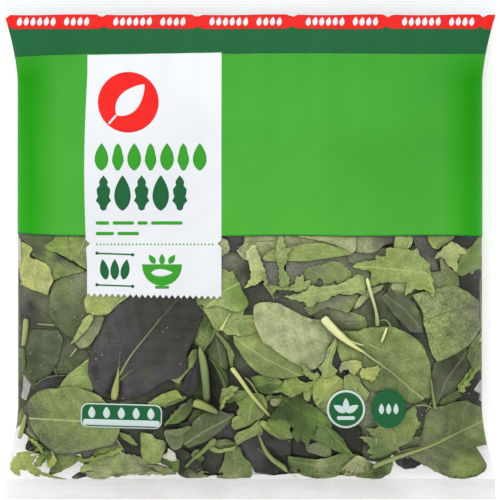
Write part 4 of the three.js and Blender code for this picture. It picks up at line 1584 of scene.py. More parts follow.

# Leaves in the window, uppermost first. Four parts each: kind, tones from stalk to tip and how pale
# (over 0.5) or dark the veins are; midrib; outline; soft spots of another tone (x, y, size, tone,
# share). The tones and spots give both the leaves' own colours and painted shade and light.
# A line is its first place and then the steps from place to place, in half millimetres.
frontLeaves = """
mizuna yellow lime .6; -291 -265 17 1 18 -8; -294 -265 2 7 6 7 4 3 8 1 8 -2 -6 -2 11 -3 -8 -1 -2 -4 5 -3 5
-5 7 -5 10 -3 20 -6 -14 1 -12 3 -10 2 4 -4 -10 4 -6 5 -8 0 -6 1 3 -4 3 -4 -8 3 -4 4; -141 -127 4 fresh .6
-132 -136 4 lime .6 -120 -138 6 light .7

shred lime grass .5; -272 -231 14 -11; -274 -230 7 -1 7 -5 6 -8 2 -8 -5 4 -4 7 -7 6;

shred grass bottle .5; -262 -262 10 12; -265 -266 5 11 5 7 11 1 -5 -7 -6 -5 -3 -8;

frill ash yellow .6; 111 -148 11 6 12 3; 109 -144 3 6 6 2 8 1 8 -1 3 -6 -5 -5 -5 -7 -5 3 -2 5 -6 -1 -5 -4;

frill yellow sallow .6; 136 -150 18 2; 135 -146 5 1 12 2 5 2 2 -5 -3 -6 -3 -6 -3 -4 -6 3 -8 2 -3 5;

oval mid light .7; 120 -152 12 -24; 114 -155 8 3 6 -2 5 -4 5 -10 8 -6 -3 -10 -11 -8 -12 4 -5 16;

blade light light .7; 105 -110 -9 -22 -4 -20; 106 -108 -6 -6 -6 -8 -2 -10 -4 -8 -6 -4 4 -4 2 -8 8 -2 6 4 6 6
-8 6 0 8 4 10 2 10;

frill light grass .5; 80 -154 -14 12; 62 -140 3 1 2 -5 5 -6 6 -2 4 3 3 -5 -7 -7 -6 4 -6 5 -5 2 5 1;

oval mid leafy .82; 112 -107 28 -19 32 -23 40 -35; 106 -104 8 4 10 0 8 0 8 4 10 2 10 0 14 0 10 -4 12 -6 8 -6
8 -8 4 -10 4 -12 2 -12 2 -12 0 -10 -4 -10 -4 4 -6 -6 -8 -4 -8 2 -8 4 -14 6 -16 4 -12 2 -10 10 -12 12 -10 12
-6 14 -2 12; 80 -79 14 moss .75 72 -68 6 moss .5 88 -58 12 leafy .7 100 -66 9 mid .8

mizuna mid leafy .7; 184 -248 -8 16 4 32; 202 -192 1 -4 0 -10 5 -8 -4 -6 -4 -6 -3 -11 -6 0 -1 7 -3 -4 -5 -6
-3 -5 5 -6 -10 3 -6 -1 2 -5 -6 -5 -6 -1 -13 3 7 5 -10 3 6 6 -4 5 -12 9 12 -4 11 -1 -8 8 -6 8 9 -2 8 2 -5 6
15 4 16 0 5 -1 4 6 5 6; 78 -122 10 bottle .6 97 -108 6 grass .6

oval stone moss .72; 168 -257 24 8 14 4 36 15 34 18; 184 -260 10 4 8 -4 10 -7 10 -3 9 -3 13 -6 18 -2 12 4 8
6 3 7 -3 7 -7 3 -5 5 1 7 7 2 8 2 0 28 -2 14 -6 4 -8 4 -6 4 -10 -2 -10 -2 -8 -4 -8 0 -8 -4 -6 -6 -2 -12 -4
-16 -4 -14 -12 -4 -12 -4; 124 -101 10 moss .85 132 -121 7 moss .8 108 -104 7 stone .8 138 -110 9 mid .6 112
-112 8 mid .5 106 -118 5 stone .6 131 -134 9 grass .7

rocket leafy leafy .6; 134 -274 38 6; 128 -275 8 2 12 3 12 5 12 3 3 -3 -2 -7 -9 -6 -8 -3 -16 0 -8 2; 77 -134
6 forest .9 70 -138 5 bottle .8

rocket grass light .8; 124 -20 44 -3 48 -5 8 -22; 124 -20 5 3 11 3 14 1 1 4 -3 2 8 -1 8 -1 4 2 -4 5 -4 3 8 1
8 0 10 -1 10 -2 3 1 0 5 2 -4 1 -4 4 -7 5 -3 5 -5 0 -10 3 -8 2 -10 2 -6 -3 -6 -2 1 -2 5 -5 3 -8 0 -6 1 -7 -6
-6 -3 5 6 6 7 0 3 -9 1 -14 0 -8 0 -10 -1 -8 -4 -6 -1 8 4 8 4 4 4 -8 0 -7 -2 -1 2 5 4 -2 2 -9 3 -8 1; 108 -21
8 grass .9

rocket fresh ash .65; 254 -8 -12 8 -16 -9; 224 -11 4 6 6 5 5 5 5 3 4 3 5 -4 4 -3 4 -3 3 -7 -4 1 -5 2 2 -5 -4
-2 1 -8 0 -10 -2 0 -4 5 -6 4 -3 3 -1 5 -4 2 -5 -2;

rocket light light .7; 140 -46 -36 -5 -28 -5 -28 -2; 41 -57 11 2 10 2 8 4 3 4 3 3 4 -4 8 2 12 1 10 1 6 3 5 3
7 4 4 3 8 -3 4 -12 -4 -12 -8 4 -6 -2 -6 -2 -6 2 -7 0 -7 -3 -4 -3 -6 -3 -8 -1 -4 -3 -4 -5 -5 3 -3 5 -8 2 -10
2; 64 -20 5 fresh .5

oval mid leafy .92; -160 -212 -48 2 -68 4; -264 -176 8 4 8 2 12 0 12 2 12 0 12 -4 10 -4 8 -4 6 -8 8 -8 6 -10
4 -10 -2 -10 -4 -8 -8 -8 -12 -2 -12 -2 -12 -2 -12 -2 -14 0 -6 2 -8 4 -8 8 -8 12 -6 12 -2 10 -2 12 4 8; -134
-100 8 slate .9 -112 -122 12 slate .55 -126 -118 7 slate .8 -98 -95 7 mid .5

oval mauve mauve .5; -168 -212 -40 0 -68 4; -272 -182 -6 -12 2 -10 4 -14 12 -16 12 -12 10 -6 18 -2 12 2 0 -8
6 0 8 4 6 8 18 4 10 4 -4 40 -36 20 -56 0;

blade sallow yellow .6; -278 4 4 -20 20 -24; -284 12 8 -4 8 -4 2 -4 -4 -6 0 -4 10 -2 8 -4 6 -4 2 -6 2 -8 2
-4 -4 -6 -4 -12 -8 4 -8 2 -10 4 -10 6; -129 -14 7 pale .5 -124 -22 5 pale .7

oval mid grass .6; -192 -4 -24 8 -34 -2; -236 20 -4 -8 -6 -4 -6 -4 2 -2 6 -4 8 -2 8 -4 8 -4 8 -4 8 -6 8 -4 8
0 0 50 -22 2 -18 -2; -119 2 7 vivid .6

oval light sallow .6; -156 -54 -20 -4 -24 -8; -196 -48 -6 -12 0 -8 2 -8 10 -4 10 0 8 2 6 6 8 8 10 6 6 10 -28
6 -16 0; -96 -36 6 lime .7

blade fresh light .5; -193 -80 -13 -18 -12 -16; -197 -79 -6 -5 -6 -12 -6 -12 -5 -8 6 3 8 8 8 8 6 10 1 8;

blade stone ash .35; -184 -82 -12 -20 -12 -15; -190 -79 -2 -8 -6 -10 -8 -8 -9 -8 5 -7 8 -1 8 6 8 11 5 10 3
10 -3 5;

round plum plum .56; -166 -182 16 46 30 38 32 38; -164 -64 -4 -8 -8 -10 -6 -10 -6 -12 -6 -12 -2 -10 -2 -14 0
-12 4 -10 4 -10 6 -8 12 -6 12 0 18 2 18 8 12 8 8 4 6 4 10 2 6 6 6 8 0 8 -2 6 2 6 4 8 4 6 4 6 2 10 4 8 2 10
-4 4 -4 4 -4 12 -4 12 -38 8 -34 -8; -45 -32 22 soot .9 -38 -52 12 soot .85 -60 -38 12 dark .8 -55 -60 16
dark .7 -94 -73.5 3 soot .8 -94.5 -79 2.5 soot .6 -64 -75 3 moss .5 -59 -78 3 moss .45 -90 -52 9 mauve .6

oval grass light .6; -192 -164 -16 10 -18 -6; -196 -132 -10 -8 -8 -6 -8 -6 -6 -8 -8 -12 16 -2 14 2 14 -2 2
24; -112 -80 4 leafy .6

blade light grass .6; -128 -188 24 7 16 5; -122 -186 6 4 12 6 12 4 2 0 4 -4 4 -6 -8 -2 -10 -4 -4 -4 -12 -2
-12 2; -46 -91 4 lime .5

blade leafy leafy .5; -104 -191 26 9; -83 -180 6 -1 -1 -2 -10 -5 -16 -7 -2 3 14 6;

blade leafy light .5; -66 -124 -6 -18 -20 -20; -70 -123 5 1 2 -6 -1 -6 -4 -6 -5 -6 -7 -8 -5 -7 -1 -4 -6 2 -6
3 6 4 10 3 7 7 0 6 -1 6 2 5;

oval mist mist .75; 106 -116 -18 6 -32 14 -40 26; 4 -68 8 4 12 0 12 -2 14 -8 12 -6 10 -4 12 -2 10 -4 8 -10 4
-10 -8 -6 -6 -8 0 -10 -6 -6 -6 -6 -8 -4 -6 4 -10 6 -8 4 -12 8 -12 10 -8 4 -6 12 -4 10 -2 12; 42 -62 9 ash
.75 38.5 -44 2 slate .8 34 -72 5 stone .5

oval light vivid .85; -44 -62 16 14 16 8; -42 -18 8 -4 4 -2 6 -4 2 4 2 -4 4 -8 4 -6 2 -6 2 -4 4 -6 2 -6 0 -4
-6 -6 -8 -2 -8 2 -10 4 -10 2 -8 -4 -6 6 -8 -4 0 8 -4 10 18 16; -11 -21.5 3.5 vivid .85 -6 -30 5 vivid .85
-14 -16 5 light .7 -28 -30 4 bottle .8 -22 -28 4 vivid .6

oval light mid .75; -34 -100 14 18 28 -6; -58 -70 14 8 16 0 16 -4 6 -8 -4 -6 8 0 8 0 10 -4 2 -8 -10 -8 -10
-4 -8 -2 -8 2 -4 0 -6 0 -4 4 -4 2 -4 -2 -4 4 -4 8 -4 8 -6 6; 2 -46 6 grass .6 -10 -36 5 leafy .6

blade leafy leafy .5; -41 -98 11 -16 8 -28; -42 -96 6 -8 8 -8 6 -8 2 -6 2 -2 -2 -4 0 -12 -4 0 -2 12 -2 10 -6
10 -8 10;

oval bottle leafy .6; -48 -86 -6 -18 -4 -12; -64 -88 10 8 6 -8 4 -10 -2 -12 -6 -8 -4 -10 -6 8 -6 10 4 10;
-26 -46 4 forest .85

oval deep moss .6; -42 -102 4 -18 4 -24; -44 -96 4 -8 8 -12 4 -10 2 -14 -2 -8 -4 2 -8 6 -10 6 -4 8 6 12; -17
-62 4 slate .5

oval forest forest .6; -48 -136 12 -16 6 -16; -52 -133 12 -6 8 -5 5 -10 1 -14 -6 -2 -6 14 -6 14;

oval mid leafy .75; -20 -106 36 -26 40 -20; -20 -102 10 0 10 4 12 2 18 -10 20 -18 30 -20 -12 -10 -14 -2
-14 -2 -12 2 -12 2 -10 6 -8 8 -6 8 -6 10 -6 8; 22 -76 12 leafy .85 0 -56 7 lime .6 8 -70 8 mid .6

rocket grass grass .6; 30 -174 22 6 20 1; 27 -174 9 5 6 6 -1 4 7 0 2 9 2 15 2 -9 2 -13 6 -4 6 -3 10 1 -4 -7
-8 -4 -10 -5 -8 -2 -8 6; 20 -86 3 vivid .6

oval lime lime .9; 82 -188 14 18 16 16; 68 -164 8 2 8 6 8 4 4 2 6 -2 6 -4 6 -4 2 -6 0 -10 -6 -10 -14 -8 -14
0 -6 12 0 12; 42 -94 5 leafy .8

oval light fresh .6; 68 -182 6 12; 65 -176 7 7 7 4 -1 -9 -4 -6 -2 -7 -6 4;

oval bottle mid .6; 4 -168 16 5 18 -1; 0 -157 10 3 14 -1 3 4 2 -4 5 -3 7 -6 -3 -8 -10 -5 -10 0 -8 3 -6 8; 10
-86 6 forest .9 6 -80 4 grass .4

rocket grass light .6; -36 -196 6 18 16 8; -37 -173 4 3 5 0 8 3 7 -3 -5 -6 -8 -3 -4 -4 -2 -7 -2 -9 -4 0 1 13
1 8 3 4;

oval bottle leafy .6; -30 -186 14 6 12 5; -18 -174 14 0 2 -4 -8 -5 -14 -6 -10 -2 6 11; -12 -93 4 forest .6

oval grass leafy .7; 4 -180 -4 -14 -2 -14; -17 -188 7 6 8 3 12 2 8 -3 3 -8 2 -8 -7 -10 -8 -3 -10 -1 -7 2 -1
5 -5 0 -1 5 4 4; -3 -96 5 vivid .6 7 -98 4 moss .5

mizuna bottle forest .55; 92 -210 -24 8 -20 14; 36 -190 6 8 6 3 8 0 10 2 7 -5 -5 -6 7 -3 7 -5 8 -6 9 -6 2 -9
-7 3 -4 -5 -8 3 -6 -4 -3 -6 4 -6 -5 -2 -1 -9 -5 6 -4 6 -2 -6 -4 2 -2 5 -4 3 4 7 -5 6 -4 5 -7 2 -9 -3 -5 4 6
8; 42 -104 6 vivid .5

blade bottle bottle .6; 88 -212 16 -18 20 -22; 86 -208 8 -6 8 0 -2 -6 6 -4 8 -8 4 -10 6 -8 4 -4 -10 0 -10 6
-12 6 -10 4 -10 4 -4 8 8 6; 42 -114 5 leafy .6

mizuna vivid leafy .55; 24 -212 16 -8 14 -8; 22 -210 10 3 10 2 6 -7 3 -6 -5 -2 4 -5 5 -5 -7 -3 -8 4 -8 5 -6
6;

blade lime moss .6; 13 -214 17 -9 24 -9; 12 -214 4 4 8 -4 10 -2 10 -8 12 -6 -8 -4 -12 0 -8 6 -8 6; 8.5
-106.5 2.5 yellow .9

blade grass mid .6; 12 -216 -12 -6 -16 -14; -16 -241 -3 12 5 5 10 4 8 5 6 5 6 -3 -1 -7 3 -5 -4 -5 -8 2 -6 -3
-8 -4; 6.5 -112.5 2 moss .7

oval light grass .6; -2 -206 -8 -8 -8 -6; -21 -207 7 3 6 -2 8 -3 7 -2 -8 -6 -9 -3 -8 -2 -4 6;

oval moss slate .7; -76 -236 28 18 28 13; -70 -212 8 6 10 4 12 2 14 -2 8 0 -2 -10 -4 -2 -10 -6 -10 -8 -10 -8
-12 -4 -10 -4 -6 6 2 10 8 8; -26 -104.5 4 moss .6

oval stone leafy .6; -100 -224 12 -4 14 8; -105 -224 5 3 10 0 14 4 6 -2 -7 -9 -4 -8 -5 -9 -6 -2 -5 4 -4 9;
-45 -116 3.5 moss .7

blade moss vivid .6; -76 -187 -12 -15 -14 -13; -73 -184 -7 -7 -10 -11 -12 -13 12 0 10 7 8 8 6 9; -38 -102 4
forest .6

blade lime grass .6; -206 -261 26 10 22 8; -190 -250 10 6 12 2 8 0 4 -2 -8 -6 -10 -4 -10 -4 -12 -4 -10 -2 -4
2 0 4 10 0 8 2; -92 -128.5 4 vivid .8 -84 -122 4 yellow .4

oval grass light .6; -120 -262 2 18 -2 16; -134 -224 14 -2 4 -6 12 -3 3 -3 -2 -10 -5 -8 -1 -7 -11 -1 -6 5 -6
0 -2 11 0 12; -64.5 -119 4.5 vivid .6

oval mid grass .6; -144 -228 -12 2 -4 -2; -161 -227 7 1 8 -4 6 -6 4 -6 -7 2 -6 5 -6 1;

blade leafy leafy .6; -44 -234 -12 -14 -22 -19; -46 -232 5 -2 -1 -4 -6 -5 -6 -5 -8 -7 -10 -7 -6 -7 -3 2 9 9
12 10 8 8 2 5;

oval mid leafy .6; -63 -249 -7 -6; -70 -250 7 4 3 -5 -8 -7 -5 4;

blade light grass .6; -16 -244 -16 -2 -18 -1; -15 -242 -7 -1 -8 -1 -8 -3 -8 4 -5 -2 2 -4 11 -1 10 2 8 2;

rocket moss leafy .6; -16 -240 -14 1 -18 -5; -41 -236 9 3 8 -1 8 -6 3 -4 -9 -2 -10 -1 -12 0 -4 4;

oval leafy bottle .6; -18 -244 0 -33; -26 -247 10 3 4 -1 2 -7 6 -7 5 -4 1 -7 1 -6 -3 -4 -20 -1 -21 2 1 6 6 7
2 6 3 8; -10 -136 7 bottle .8 -10 -140 9 ash .7

oval pale pale .6; 142 -270 -14 8 -8 4; 111 -270 9 8 8 8 6 0 6 -2 6 -7 6 -7 -8 -4 -12 -3 -12 0 -8 1;

oval bottle leafy .6; 48 -260 40 -6 40 6; 46 -254 20 -2 14 -2 16 2 14 4 10 0 12 -2 0 -12 -8 -10 -14 0 -14 -4
-16 0 -16 4 -10 4 -8 4; 43 -132.5 5 ash .85 30 -130 6 moss .6 54 -131 6 leafy .7

mizuna light grass .5; 92 -204 -16 8; 100 -208 -8 6 -6 5 -6 4 4 3 10 -4 10 -4 4 -10;

oval ash grass .5; 28 -189 10 2; 27 -184 5 1 7 -1 2 -4 -5 -5 -8 0 -3 4;

frill mid leafy .5; 16 -188 20 6; 12 -190 6 6 6 4 2 2 2 -3 6 0 3 3 4 -4 2 2 1 -6 -8 -1 -12 0 -6 -4;

shred grass grass .5; -256 -240 -8 -9; -255 -239 -4 -4 -8 -6 7 1 5 4;

shred bottle vivid .5; -252 -244 -4 -22; -258 -243 13 -2 2 -9 -7 -6 -8 -8 -2 6 4 8;

oval yellow lime .5; -238 -254 -8 -13; -239 -251 4 -9 -7 -9 -8 2 0 7 6 6;

oval leafy leafy .6; -236 -272 12 14; -239 -252 19 0 10 -4 -1 -6 -9 -5 -10 -4 -10 -4 -7 0 3 6 7 6; -118 -136
4 moss .8

oval moss grass .6; -274 -220 10 -11; -275 -217 4 0 9 -12 3 -7 -6 3 -9 8;

frill light ash .5; -208 -268 32 2 36 4; -209 -270 11 5 10 4 12 5 12 5 12 0 12 -2 8 -6 12 -4 8 -3 12 -2 10
-4 1 -3 -11 0 -12 2 -12 0 -8 -3 -12 3 -10 -2 -6 -3 -10 1 -6 -4 -14 0 -8 3 -6 4; -94 -138 6 ash .8 -80 -132 6
light .7 -62 -135.5 6 stone .6

blade slate dark .5; -214 -278 18 4; -219 -278 9 6 12 3 8 -1 -6 -6 -12 -4 -8 -1;

oval milk milk .5; -96 -248 -2 -10; -106 -256 7 6 0 5 8 -6 0 -6 3 -2 -8 -2;

oval moss vivid .5; -110 -262 20 -4; -112 -259 12 2 13 -2 0 -14 -9 2 -12 6;

oval dark dark .5; -84 -252 16 -16; -92 -247 10 0 10 -7 6 -7 6 -7 -8 -4 -20 0 -2 12;

oval stone ash .5; -88 -276 44 2; -90 -270 14 -2 12 2 12 -2 12 -2 -12 -4 -10 -2 -16 0 -8 4;

oval bottle bottle .5; -66 -252 6 -12; -69 -258 6 5 8 -4 -3 -5 -3 -4;

oval mid leafy .5; -80 -272 18 4; -82 -272 10 5 10 4 4 -5 -10 -4;

oval pale ash .6; -38 6 10 -12; -40 16 11 -3 3 -3 1 -6 1 -4 -2 -4 -6 -3 -8 -4;

mizuna fresh chalk .5; 19 -40 -10 24 -5 20; 1 5 3 2 3 -2 2 -7 4 -10 3 -7 2 -7 3 -12 1 -5 -4 0 -3 9 -3 4 -3
-2 -1 -4 -3 -2 3 -6 -6 1 -4 -2 -6 -4 4 7 4 6 1 8 -2 8 0 6 -4 0 0 8 2 6; 8.5 -16 3 light .8

mizuna mid light .5; 38 -44 0 28 -1 32; 33 20 7 0 1 -10 3 -7 -3 -2 3 -3 3 3 5 3 -1 -5 -5 -3 -1 -6 0 -6 -3 -4
-2 -5 6 -2 -3 -3 6 -3 -3 -3 3 -3 -4 -6 -9 0 -1 11 0 10 -1 6 -3 4 -1 6 2 10 1 8; 19 -17 3 leafy .5

blade light grass .6; 24 -7 48 4 48 -4; 14 -12 6 8 8 4 12 2 12 2 8 2 16 2 14 0 14 -4 10 -4 10 -6 -14 -2 -14
-2 -12 -2 -14 -2 -20 0 -20 0 -12 0; 47.5 1.5 3 grass .8

oval chalk pale .6; 68 16 32 -4 26 -8; 56 22 34 2 38 0 2 -12 0 -8 -2 -6 -4 -4 -8 4 -12 8 -14 4 -18 4 -12 2;
52 3 4 pale .7

frill mid light .5; 20 -45 28 -2 24 5; 16 -40 6 -2 10 -2 8 -1 10 1 5 3 0 8 7 0 3 4 -2 -7 5 -4 4 5 3 -7 -4 -6
-11 -4 -8 2 -12 1 -9 0 -3 -7 -2 1 -6 7;

frill leafy mid .5; 68 -30 28 4 24 -2; 67 -23 9 3 12 2 12 4 14 -2 6 -8 6 -7 -4 -5 -8 -5 -6 -2 -5 7 -3 -7 -8
0 -4 6 -4 4 -4 -9 -5 -3 -2 9 -6 -2 -2 8; 42 -12 4 stone .8 56 -11 5 leafy .6

oval ash pale .5; 96 -31 0 -11; 90 -32 6 2 6 -3 3 -9 -9 -4 -7 3;

oval mid light .5; 134 -8 26 -2 20 12; 176 20 4 -10 2 -5 8 -4 7 2 2 9 -3 8;

oval grass mid .6; 220 4 16 8; 215 24 3 -14 5 -8 7 -2 6 4 7 5 7 5 2 10;

oval light stone .12; 210 -88 34 13 38 8; 208 -52 8 2 10 2 10 2 10 2 10 -2 10 -6 8 -8 6 -6 2 -10 0 -14 -6
-10 -6 -12 -8 -8 -10 -8 -12 -6 -10 -4 -6 8 -4 10 -2 10 -2 10 -4 10 0 10 -4 12 -6 8 -4 4; 113 -44 8 light .6
124 -54 9 mid .7 108 -32 6 ash .7 130 -28 6 mid .8

oval slate slate .6; 166 -56 24 -18 18 -22; 160 -58 6 6 8 2 10 -2 8 -4 6 -6 6 -8 6 -10 2 -10 0 -12 -6 0 -10
2 -8 8 -6 6 -6 6 -6 8 -6 8; 86 -28.5 3 forest .6 101 -37 3 mid .6 96 -42 5 deep .4

oval leafy vivid .6; 264 -4 12 20; 252 -6 10 4 6 6 8 0 2 14 6 2 2 -46 -4 -4 -6 8 -4 -4 -2 -6 -4 6 -4 -6 -6 0
-4 4 4 12; 137 -4 5 vivid .9 130 -10 4 bottle .9

oval leafy stone .6; 252 -48 -14 20 -4 18; 232 -7 6 -5 4 -6 6 -7 7 -3 1 -16 -8 -4 -20 -3 -7 11 -2 13 8 -6 9
-2 -3 13; 125 -18 4 bottle .6

oval moss leafy .6; 272 -136 4 20 6 20; 284 -88 2 -24 -4 -10 0 -10 -10 -4 -2 -10 -6 14 2 12 6 10 6 10 4 10;
137 -60 4 bottle .6

mizuna grass vivid .5; 255 -172 9 14 12 15; 281 -150 -3 10 -3 -4 -5 -4 -5 -9 -5 -10 -5 -7 -1 6 1 4 4 4 4 8 3
3 3 5 4 3;

mizuna moss bottle .5; 256 -174 -20 -12; 255 -171 -11 -6 -12 -9 2 -7 8 3 10 7 7 4 -2 5;

oval slate deep .6; 230 -188 10 28 22 32; 226 -138 14 6 14 8 10 6 4 -14 0 -14 -6 -14 -8 -12 -10 -10 -12 -10
-8 -2 -2 18 0 16; 126 -70 8 soot .8 116 -84 6 slate .6

oval dark slate .5; 204 -96 10 -18 10 -34; 198 -90 18 -4 2 -16 4 -14 6 -14 -2 -16 -8 14 -8 24 -10 12;

oval soot soot .5; 260 -176 16 20; 262 -160 14 14 8 -2 -2 -12 -6 -10 4 -12 -2 -10 -18 4 -8 4 4 10;

oval soot black .5; 266 -28 6 -32; 254 -34 4 4 8 4 8 4 8 -6 2 -12 0 -32 -6 4 -6 10 -16 10;

oval soot soot .5; 254 14 24 -2; 248 24 1 -12 7 -7 10 -4 11 0 5 7 0 16;

oval mauve mauve .5; 206 12 22 -32; 196 22 22 0 6 -20 8 -4 -6 -8 12 -24 -18 -2 -4 20 -8 8 -6 12; 112 -9 3
stone .7

oval light pale .5; 198 -40 -18 -10; 176 -36 26 -2 0 -10 -10 -7 -8 0 -8 3 -4 6;

oval ash pale .5; 162 -44 -18 -12; 164 -43 -10 -2 -12 -5 -10 -10 -6 -12 6 1 8 8 10 8 10 6;

oval mid stone .5; 124 -72 -14 12; 108 -54 8 -2 6 0 6 2 6 0 -2 -8 -6 -8 -8 -8 -8 4 -10 2 -10 4 -8 -2 -4 -6
-6 -6 -2 6 -6 6 6 0 6 4 12 4 12 4; 51.5 -30.5 2.5 slate .8 37 -38.5 3 vivid .6

oval stone ash .5; 156 16 -20 -8; 128 24 2 -16 -2 -10 8 -2 14 0 10 6 4 4 16 2 0 16; 84 6 5 mauve .95 72 4 3
ash .6

oval stone slate .5; 128 -4 24 -2; 120 -6 12 4 18 2 14 2 12 0 0 -14 -24 -4 -20 -4 -12 6; 70 -4 4 haze .5

oval stone stone .5; 72 -16 52 4; 44 -12 28 2 20 2 24 2 16 -2 -4 -10 4 -8 16 -2 0 -8 -20 0 -16 -8 -32 0 -20
4 -16 -4; 28 -11 8 haze .95 42 -7 5 haze .8 42 -18 4 haze .8

oval haze haze .5; 28 -12 0 -32; 12 -10 21 -1 3 -9 1 -25 -19 0 -2 17;

oval pale ash .5; -12 8 52 4; -18 0 8 -4 4 22 -2 6 68 0 30 -6 20 -10 14 -14 -34 12 -30 -4 -16 -4 -28 -8 -12
-4 -12 2; 12 6 6 pale .6 4 8 3 stone .5

round mauve plum .5; -8 16 -10 -12; -30 22 27 0 -1 -14 -6 -7 -10 -5 -7 6 -1 8;

oval haze slate .5; -36 -16 16 4 14 -12; -40 -6 14 2 6 4 6 -4 6 -4 10 -4 0 -12 -2 -14 -8 -12 -10 10 -10 12
-12 4; -2.5 -13 4.5 soot .95 -12 -8 4 stone .5

oval dark slate .5; -8 -54 36 -6 36 -10; -8 -44 14 4 18 -4 8 -10 16 -2 18 -8 6 -8 8 -12 -20 2 -16 8 -16 4
-20 -2 -16 -4 -4 16; 20 -27 4 plum .9 -1 -28 4 dark .9

oval leafy stone .5; 136 -88 -20 0; 68 -76 16 6 16 -2 14 -4 12 0 14 -6 4 -10 -4 -10 -20 -2 -12 4 -16 10 -20
4; 58 -39 3 slate .6 63 -46 4 stone .8

oval slate deep .5; 140 -64 28 -16; 128 -60 12 12 20 0 20 -6 -4 -22 8 -20 -16 -4 -20 0 -12 8 -12 12; 84
-22.5 4 plum .8 76 -34 5 dark .5

oval dark plum .5; 180 -84 14 -18; 174 -72 10 -12 12 -12 12 -8 -12 -6 -16 8 -12 2;

oval slate leafy .5; -264 16 20 -20; -286 22 52 2 -4 -10 -12 -10 8 -6 18 -12 24 -12 -8 -2 -16 -4 -18 -6 -4
14 -8 8 -8 6 -8 4 4 8 -8 6 -12 6; -134 8 6 moss .9 -130 -1 4 dark .7 -116 -4.5 4 plum .95 -109 -9 4 slate .8
-123 5 5 moss .9

oval moss stone .45; -226 -102 8 38 8 38; -198 -28 -6 4 -8 0 -10 -4 -12 -8 -8 -4 -2 -12 -2 -14 0 -12 6 -10 6
-8 10 -8 10 -6 8 10 10 16 0 20 2 16 2 16; -112 -24 7 leafy .6 -116 -40 6 slate .7 -104 -40 5 slate .6

oval dark slate .5; -272 -88 24 16; -286 -46 18 -2 26 -6 2 -26 4 -14 -20 -2 -16 2 -14 2; -134.5 -34 2.5
black .9 -139 -32 2.5 slate .7 -131 -38 3 soot .6

oval deep slate .35; -274 -136 18 16 16 12; -286 -92 14 -8 12 4 12 -2 12 0 8 -10 -4 -16 -2 -12 -10 -16 -16
-8 -12 0 -6 12 -2 16; -126 -56 4 slate .6 -134 -66 4 dark .6

oval moss slate .35; -214 -148 -10 28; -240 -92 16 -8 12 -16 12 -8 6 -12 -14 -8 -12 -8 -20 0 -4 20; -103 -63
3 plum .6 -114 -56 3 dark .7

oval soot plum .5; -226 -162 -34 -6; -262 -168 2 8 6 4 8 2 8 2 14 0 6 -8 -6 -16 -12 -4 -16 0 -12 0;

oval slate dark .5; -272 -160 4 -20; -279 -144 7 -8 8 -4 2 -12 -1 -12 -7 -4 4 12 -2 7 -8 11;

oval slate dark .5; -160 -184 40 16; -184 -176 24 8 28 16 20 -4 20 -4 0 -10 -12 -10 -12 -8 -20 -8 -40 0;

oval plum soot .5; -66 -136 -10 -32 -20 -40; -64 -132 4 -4 2 -16 -4 -16 -8 -16 -10 -12 -16 -16 -16 -8 -12 -4
4 24 20 10 16 8 0 14 4 12 8 12;

oval forest bottle .5; -60 -156 -6 -28; -62 -152 6 -8 4 -28 -20 0 2 12 5 12;

oval dark dark .5; -124 -224 -20 -24; -164 -220 24 6 24 -4 16 0 4 -14 -8 -28 -24 -8 -20 8 -12 12; -72 -121 5
black .8 -55 -113 3 forest .6

oval forest soot .5; -80 -236 8 -16; -86 -232 14 0 10 -6 -4 -10 -4 -10 -14 6 -6 8; -37 -124 3 black .8

oval dark plum .5; -60 -244 20 16 24 10; -88 -216 28 8 40 0 12 -10 -8 -14 -8 -20 -8 -24 -24 0 -12 20 -8 16;
-22 -130 6 dark .6

oval black black .5; -50 -140 10 -52; -56 -128 12 -8 8 -20 8 -16 -4 -24 -12 -8 -28 4 8 16 8 24;

oval black soot .5; -24 -194 16 -8; -32 -184 20 4 6 -16 -2 -12 -16 0 -12 4;

oval dark soot .5; 0 -148 24 -8; -26 -108 10 -2 8 -18 12 -18 16 -8 28 -2 20 4 12 -4 0 -12 -40 -16 -40 12 -24
12; -6 -69 5 slate .7

oval plum dark .5; 104 -132 4 -24; 98 -120 10 -4 6 -20 6 -16 -12 -4 -12 8 -4 16;

oval plum soot .5; 6 -236 22 -8 12 -24; -16 -224 24 4 20 -4 20 -8 2 -20 -2 -22 -20 -2 -20 2 -20 18; 14 -115
4 soot .9 12 -134 5 soot .7 2 -120 5 soot .6

oval stone leafy .5; 72 -248 28 -2; 68 -242 14 5 10 -3 8 -5 2 -7 -3 -7 -9 3 -10 4 -10 3;

oval soot black .5; 60 -240 60 8; 40 -232 20 0 20 8 20 12 20 0 16 -8 0 -28 -12 -8 -44 -2 -32 2; 26 -122 5
dark .6

oval moss bottle .5; 124 -240 4 -14; 116 -236 10 -3 9 -5 -1 -10 -10 -2 -6 8;

oval stone slate .5; 140 -188 12 -32; 124 -180 20 12 24 0 28 -16 28 -6 8 -10 -20 -20 -32 -4 -40 -12 -12 16;
106 -101 6 plum .9 72 -102 6 stone .7

oval dark slate .5; 132 -228 20 -32; 124 -220 20 -4 16 -12 12 -20 -12 -12 -20 6 -12 14; 69 -125.5 3 stone .8

oval slate stone .5; 168 -240 16 -16; 164 -232 24 4 20 -4 0 -20 -20 -6 -20 0; 92.5 -119.5 2.5 forest .9

oval plum soot .5; 180 -262 24 -2; 174 -260 14 4 14 -1 8 -8 -10 -4 -10 -1 -10 3; 95.5 -132 2 black .9
"""

fillLeaves = {
    "seed": 11,
    "count": 340,
    "tones": ("deep", "dark", "moss", "soot", "leafy", "dark", "slate", "plum", "mid"),
    "length": (28, 52),
    "slender": (0.4, 0.75),
    "wish": (1.5, 5.0),
    "backShare": 0.3,
    "from": 14,
    "to": -128,
    "step": 3.0,
    "veins": 0.62,
    "edgeWaves": ((3, 0.05), (5, 0.06)),  # how many round the edge, and their height
    "finestWaves": 9,
    "finestHeight": (0.02, 0.09),
    "cornerFrom": -60,  # the empty foot corners: height, run, half width and power
    "cornerRun": 72,
    "cornerAcross": 150,
    "cornerPower": 3.2,
}

